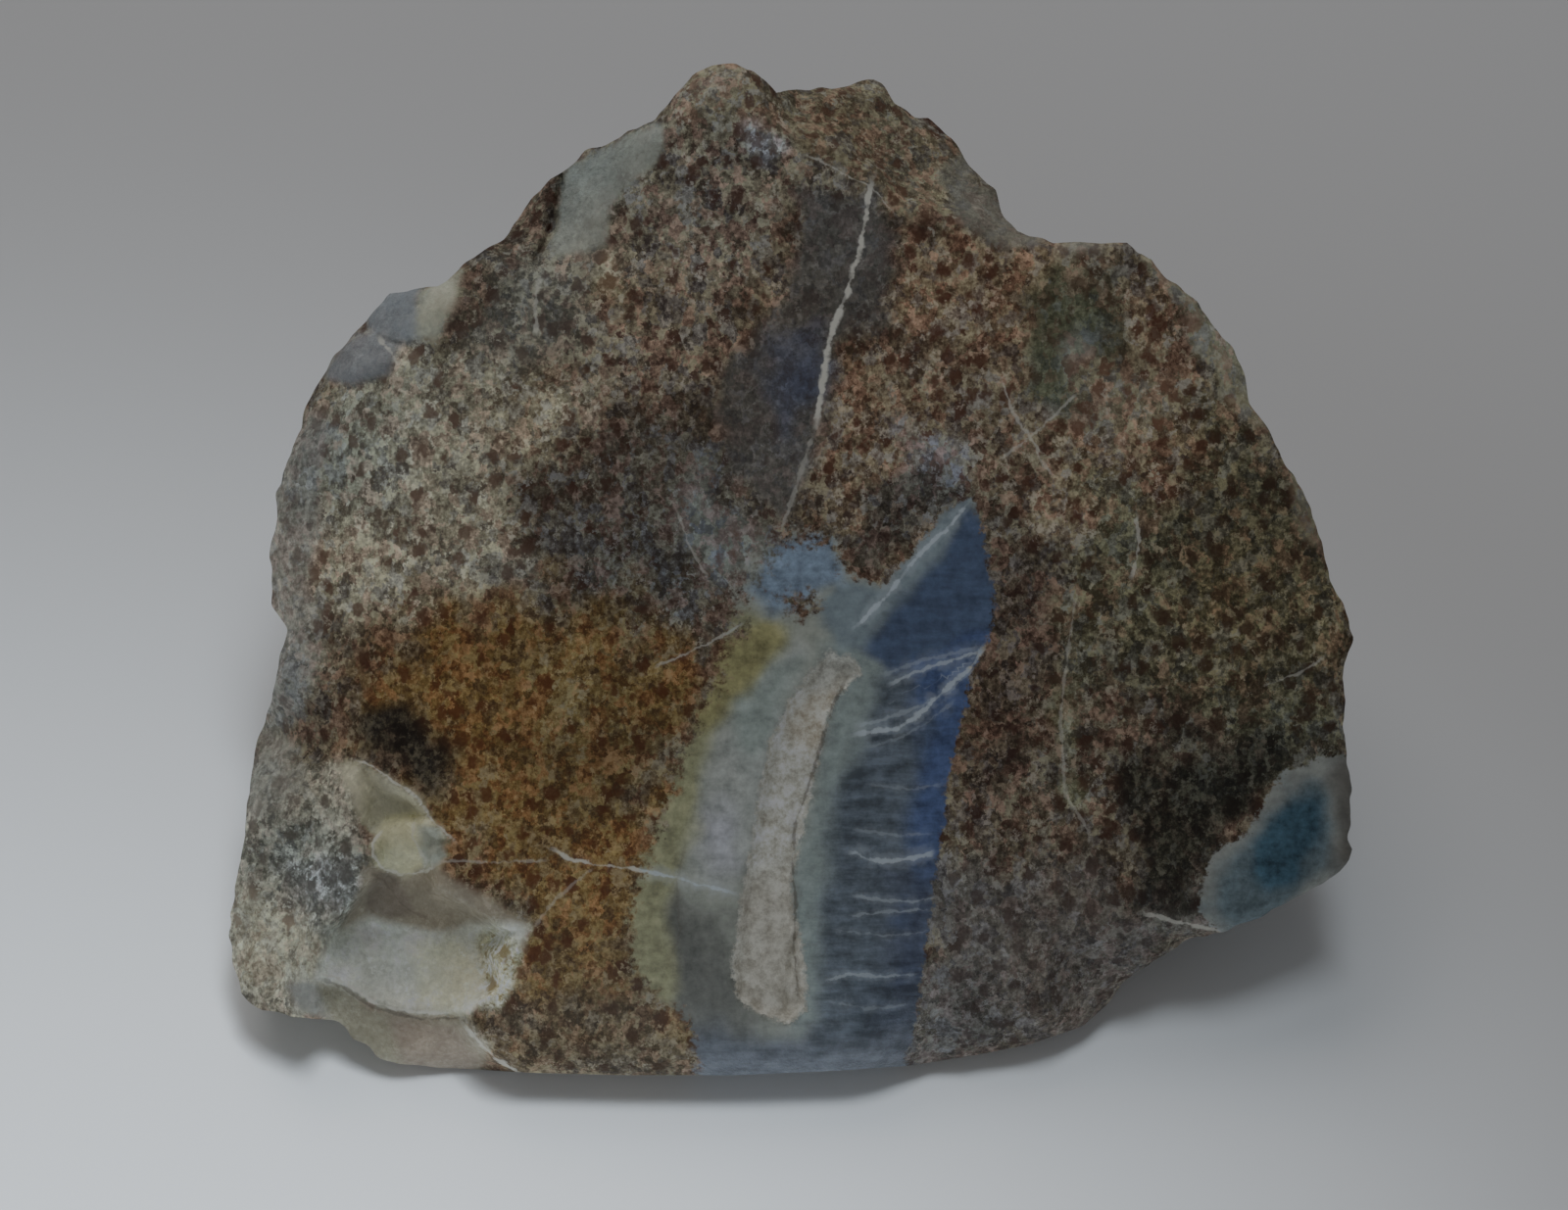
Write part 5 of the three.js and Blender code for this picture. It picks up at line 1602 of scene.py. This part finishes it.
    def rock(self, w: Wiring, position: object) -> tuple[bpy.types.NodeSocket, ...]:
        """Granular rock: the painted palette by the mosaic's shade, shifted to red or olive by tint.

        Args:
            w: The material's wiring.
            position: Position in millimetres.

        Returns:
            The colour, and noise for the relief.
        """
        grain = w.attribute("rock_grain", "Fac")
        stretched = w.vector("MULTIPLY", position, self.grain_stretch)
        mosaic = w.group(grain_mosaic(), Position=stretched, Size=self.grain_size, Contrast=grain)
        colour = self.shaded(w, "rock", mosaic["Shade"])
        hue = w.attribute("rock_hue", "Fac")
        red = w.mix(hue, colour, (*self.red_shift, 1.0), "MULTIPLY")
        olive = w.mix(hue, colour, (*self.olive_shift, 1.0), "MULTIPLY")
        grey = w.mix(hue, colour, (*self.grey_shift, 1.0), "MULTIPLY")
        colour = w.mix(w.step(mosaic["Tint"], 0.25, 0.5), red, olive)
        colour = w.mix(w.step(mosaic["Tint"], 0.55, 0.8), colour, grey)
        relief = w.noise(position, 1.9, 3.0, 0.7).outputs["Fac"]
        shadow = w.math("MULTIPLY_ADD", w.about_half(relief, grain), self.grain_shadow, 1.0)
        colour = w.scaled(colour, shadow)
        spots = w.times(mosaic["Spots"], w.times(grain, self.spot_strength))
        dark = w.mix(hue, w.attribute("rock_dark", "Color"), (*self.spot_shift, 1.0), "MULTIPLY")
        colour = w.mix(spots, colour, dark)
        # Painted highlights: a few grains lifted towards a bluish white, as if their crystals caught the
        # light.
        painted_highlights = w.times(mosaic["Painted highlights"], w.times(grain, self.painted_highlight_strength))
        bright = w.mix(1.0, w.attribute("rock_light", "Color"), (*self.painted_highlight_shift, 1.0), "MULTIPLY")
        return w.mix(painted_highlights, colour, bright), relief

    def vein_body(self, w: Wiring, position: object) -> bpy.types.NodeSocket:
        """The vein's smooth body: its painted palette by cloudy noise and wisps across the vein.

        Args:
            w: The material's wiring.
            position: Position in millimetres.

        Returns:
            The colour.
        """
        wisps = w.group(cross_fibres(), Position=position)["Wisps"]
        cloud = w.noise(position, 0.7, 5.0, 0.72).outputs["Fac"]
        strength = w.attribute("vein_grain", "Fac")
        total = w.plus(w.about_half(cloud, self.cloud_contrast), 0.5)
        streaks = w.about_half(wisps, w.times(strength, self.wisp_contrast))
        colour = self.shaded(w, "vein", w.plus(total, streaks, clamp=True))
        thin = w.step(w.plus(wisps, w.times(cloud, 0.5)), 0.84, 1.0)
        thin = w.times(thin, w.step(strength, 0.35, 1.0, 0.0, 0.3))
        return w.mix(thin, colour, (*self.vein_wisp, 1.0))

    def core(self, w: Wiring, position: object) -> tuple[bpy.types.NodeSocket, ...]:
        """The porous core: its painted palette by crumbly noise.

        Args:
            w: The material's wiring.
            position: Position in millimetres.

        Returns:
            The colour and the noise.
        """
        # The crumbs also raise the relief, so the core is darkest in its low pits: its own tone with
        # painted shade.
        crumbs = w.noise(position, 0.85, 6.0, 0.78).outputs["Fac"]
        return self.shaded(w, "core", w.step(crumbs, 0.28, 0.68)), crumbs


@dataclass
class Stone:
    """The stone's dressed surface: two square grids of points that share the rim."""

    form: StoneForm = field(default_factory=StoneForm)
    markings: Markings = field(default_factory=Markings)
    finish: StoneFinish = field(default_factory=StoneFinish)
    cells: int = 218
    sharp_angle: float = math.radians(50)
    shift: Pair = (0.0, 0.0)

    def grid_place(self) -> tuple[Array, Array, Array]:
        """Where each corner of a square grid lies.

        The ring is the greater of the two distances from the middle, from 0 to 1. The side is the
        edge of the square that the corner faces, and the share runs along that edge clockwise.

        Returns:
            The side, the share and the ring.
        """
        line = np.linspace(-1, 1, self.cells + 1)
        a, b = (n.ravel() for n in np.meshgrid(line, line))
        ring = np.maximum(np.abs(a), np.abs(b))
        safe = np.where(ring > 0, ring, 1.0)
        cases = [b > ring - HAIR, a > ring - HAIR, b < HAIR - ring]
        side = np.select(cases, [0, 1, 2], 3)
        share = np.select(cases, [(a / safe + 1) / 2, (1 - b / safe) / 2, (1 - a / safe) / 2],
                          (b / safe + 1) / 2)
        return side, share, ring

    def faces(self, front: Array, back: Array) -> Array:
        """Two triangles for each cell of both grids, facing outwards.

        The cell's diagonal points towards the grid's middle, and the back's triangles are reversed.

        Args:
            front: Vertex numbers of the front grid.
            back: Vertex numbers of the back grid.

        Returns:
            Rows of three vertex numbers.
        """
        made = []
        half = self.cells / 2
        j, i = np.meshgrid(np.arange(self.cells), np.arange(self.cells), indexing="ij")
        straight = ((i < half) == (j < half)).ravel()[:, None]
        for numbers, turned in ((front, False), (back, True)):
            grid = numbers.reshape(self.cells + 1, self.cells + 1)
            a, b, c, d = (n.ravel() for n in (grid[:-1, :-1], grid[:-1, 1:], grid[1:, :-1], grid[1:, 1:]))
            first = np.where(straight, np.column_stack([a, b, d]), np.column_stack([a, b, c]))
            second = np.where(straight, np.column_stack([a, d, c]), np.column_stack([b, d, c]))
            both = np.vstack([first, second])
            made.append(both[:, ::-1] if turned else both)
        return np.vstack(made)

    def surface(self) -> tuple[Array, Array, Array, Array]:
        """The whole closed surface.

        Returns:
            Places as rows of u, v and w, layout places as rows of p and q, 1 for the back's
            vertices, and the triangles.
        """
        side, share, ring = self.grid_place()
        p, q = self.form.silhouette(side, share)
        front = self.form.front_point(p * ring, q * ring)
        inner = ring < 1 - HAIR
        back = self.form.back_point(side[inner], share[inner], 1 - ring[inner])
        front_numbers = np.arange(len(ring))
        back_numbers = np.array(front_numbers)
        back_numbers[inner] = len(ring) + np.arange(inner.sum())
        place = np.vstack([front, back])
        scale = 1 - back[:, 2:] / VIEW_DISTANCE
        flat = np.vstack([np.column_stack([p * ring, q * ring]), back[:, :2] / scale])
        on_back = np.concatenate([np.zeros(len(front)), np.ones(len(back))])
        return place, flat, on_back, self.faces(front_numbers, back_numbers)

    def standing(self, place: Array) -> Array:
        """Places turned back by 35 degrees about the first axis, lifted and centred on the CAD box.

        Args:
            place: Rows of u, v and w in millimetres.

        Returns:
            Rows of x, y and z in metres.
        """
        rise, level = math.sin(FACE_ELEVATION), math.cos(FACE_ELEVATION)
        u, v, w = place.T
        x, y = u, v * rise - w * level
        z = np.maximum(v * level + w * rise + FACE_HEIGHT, 0)
        middle = [(a + b) / 2 for a, b in zip(*CAD_BOX)]
        off = [(values.min() + values.max()) / 2 * MM for values in (x, y)]
        self.shift = (middle[0] - off[0], middle[1] - off[1])
        return np.column_stack([x * MM + self.shift[0], y * MM + self.shift[1], z * MM])

    def build(self) -> bpy.types.Object:
        """Makes the mesh with its attributes and its material, and puts it on the CAD body.

        Returns:
            The object.
        """
        place, flat, on_back, faces = self.surface()
        mesh = bpy.data.meshes.new("veined_chunk")
        mesh.vertices.add(len(place))
        mesh.vertices.foreach_set("co", self.standing(place).ravel())
        mesh.loops.add(faces.size)
        mesh.loops.foreach_set("vertex_index", faces.ravel().astype(np.int32))
        mesh.polygons.add(len(faces))
        mesh.polygons.foreach_set("loop_start", np.arange(0, faces.size, 3, dtype=np.int32))
        mesh.update(calc_edges=True)
        mesh.validate()
        mesh.polygons.foreach_set("use_smooth", np.ones(len(mesh.polygons), bool))
        mesh.set_sharp_from_angle(angle=self.sharp_angle)
        for name, value in self.markings.all(self.form, place, flat, on_back).items():
            self.store(mesh, name, value)
        mesh.materials.append(self.finish.material())
        made = bpy.data.objects.new("veined_chunk", mesh)
        bpy.context.scene.collection.objects.link(made)
        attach(made, "root")
        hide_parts("ternesite_chunk")
        return made

    def store(self, mesh: bpy.types.Mesh, name: str, value: Array) -> None:
        """Keeps an array on the mesh: one column as a number, three as a vector or a colour.

        Args:
            mesh: The mesh.
            name: The attribute's name.
            value: One row for each vertex.
        """
        colour = name.split("_")[-1] in ("dark", "middle", "light")
        kind = "FLOAT" if value.shape[1] == 1 else "FLOAT_COLOR" if colour else "FLOAT_VECTOR"
        kept = mesh.attributes.new(name, kind, "POINT")
        if colour:
            value = np.column_stack([np.clip(value * BRIGHTENING, 0, BRIGHTEST), np.ones(len(value))])
        key = {"FLOAT": "value", "FLOAT_COLOR": "color", "FLOAT_VECTOR": "vector"}[kind]
        kept.data.foreach_set(key, np.ascontiguousarray(value, np.float32).ravel())


@dataclass(frozen=True)
class SoftLight:
    """One square soft light. Places and its side are in metres, power in watts, its beam in degrees."""

    name: str
    at: Place
    toward: Place
    side: float
    power: float
    colour: Colour
    beam: float

    def build(self) -> bpy.types.Object:
        """Adds the light, turned to the point that it faces.

        Returns:
            The light.
        """
        light = bpy.data.lights.new(self.name, "AREA")
        light.size, light.energy, light.color = self.side, self.power, self.colour
        light.spread = math.radians(self.beam)
        made = bpy.data.objects.new(self.name, light)
        bpy.context.scene.collection.objects.link(made)
        way = Vector(self.toward) - Vector(self.at)
        made.location = self.at
        made.rotation_euler = way.to_track_quat("-Z", "Y").to_euler()
        return made


@dataclass
class Studio:
    """The plain pale floor, the soft lights and the camera at the picture's viewing angle."""

    floor_half: float = 1.5
    floor_colour: Colour = (0.66, 0.655, 0.65)
    floor_roughness: float = 0.9
    behind: SoftLight = SoftLight("behind", (-0.14, 0.32, 0.52), (0.01, -0.03, 0.0), 0.40, 0.24,
                                  (0.985, 0.985, 1.0), 80.0)
    in_front: SoftLight = SoftLight("weak in front", (-0.015, -0.15, 0.10), (-0.02, -0.14, 0.0), 0.06,
                                    0.04, (0.86, 0.94, 1.0), 100.0)
    floor_light: SoftLight = SoftLight("on the floor alone", (0.01, -0.02, 0.35),
                                       (-0.085, -0.125, 0.0), 0.10, 0.20, (0.80, 0.90, 1.0), 54.0)
    world_colour: Colour = (0.95, 0.97, 1.0)
    world_strength: float = 0.19
    lens: float = 90.0
    sensor: float = 36.0
    nearest: float = 0.01
    farthest: float = 10.0

    def floor(self) -> bpy.types.Object:
        """A level square just under the stone."""
        half = self.floor_half
        mesh = bpy.data.meshes.new("floor")
        corners = [(-half, -half, 0), (half, -half, 0), (half, half, 0), (-half, half, 0)]
        mesh.from_pydata(corners, [], [(0, 1, 2, 3)])
        material = bpy.data.materials.new("Pale floor")
        material.use_nodes = True
        shader = material.node_tree.nodes["Principled BSDF"]
        shader.inputs["Base Color"].default_value = (*self.floor_colour, 1.0)
        shader.inputs["Roughness"].default_value = self.floor_roughness
        mesh.materials.append(material)
        made = bpy.data.objects.new("floor", mesh)
        bpy.context.scene.collection.objects.link(made)
        return made

    def lights(self, floor: bpy.types.Object) -> None:
        """Adds the lights.

        The strongest stands high behind the stone, a weak cool one low in front, and one over the
        stone shines on the floor alone, so that the stone's shadow falls in front. The air is grey.

        Args:
            floor: What the last light shines on.
        """
        self.behind.build()
        self.in_front.build()
        lit = bpy.data.collections.new("Lit from above")
        lit.objects.link(floor)
        self.floor_light.build().light_linking.receiver_collection = lit
        world = bpy.data.worlds.new("Grey air")
        world.use_nodes = True
        air = world.node_tree.nodes["Background"]
        air.inputs["Color"].default_value = (*self.world_colour, 1.0)
        air.inputs["Strength"].default_value = self.world_strength
        bpy.context.scene.world = world

    def camera(self, shift: Pair) -> None:
        """A camera straight in front of the ground face.

        Args:
            shift: How far the stone was moved on the floor to centre it, in metres.
        """
        data = bpy.data.cameras.new("camera")
        data.lens, data.sensor_width = self.lens, self.sensor
        data.clip_start, data.clip_end = self.nearest, self.farthest
        made = bpy.data.objects.new("camera", data)
        bpy.context.scene.collection.objects.link(made)
        rise, level = math.sin(FACE_ELEVATION), math.cos(FACE_ELEVATION)
        away = VIEW_DISTANCE * MM
        made.location = (shift[0], shift[1] - away * level, away * rise + FACE_HEIGHT * MM)
        made.rotation_euler = (math.pi / 2 - FACE_ELEVATION, 0.0, 0.0)
        bpy.context.scene.camera = made


def main() -> None:
    """Builds the stone and the studio, and logs the stone's triangles."""
    logging.basicConfig(level=logging.INFO, format="%(message)s")
    stone = Stone()
    made = stone.build()
    LOG.info("%s: %d triangles", made.name, len(made.data.polygons))
    studio = Studio()
    studio.lights(studio.floor())
    studio.camera(stone.shift)
    LOG.info("studio: floor, lights and camera")


if __name__ == "__main__":
    main()
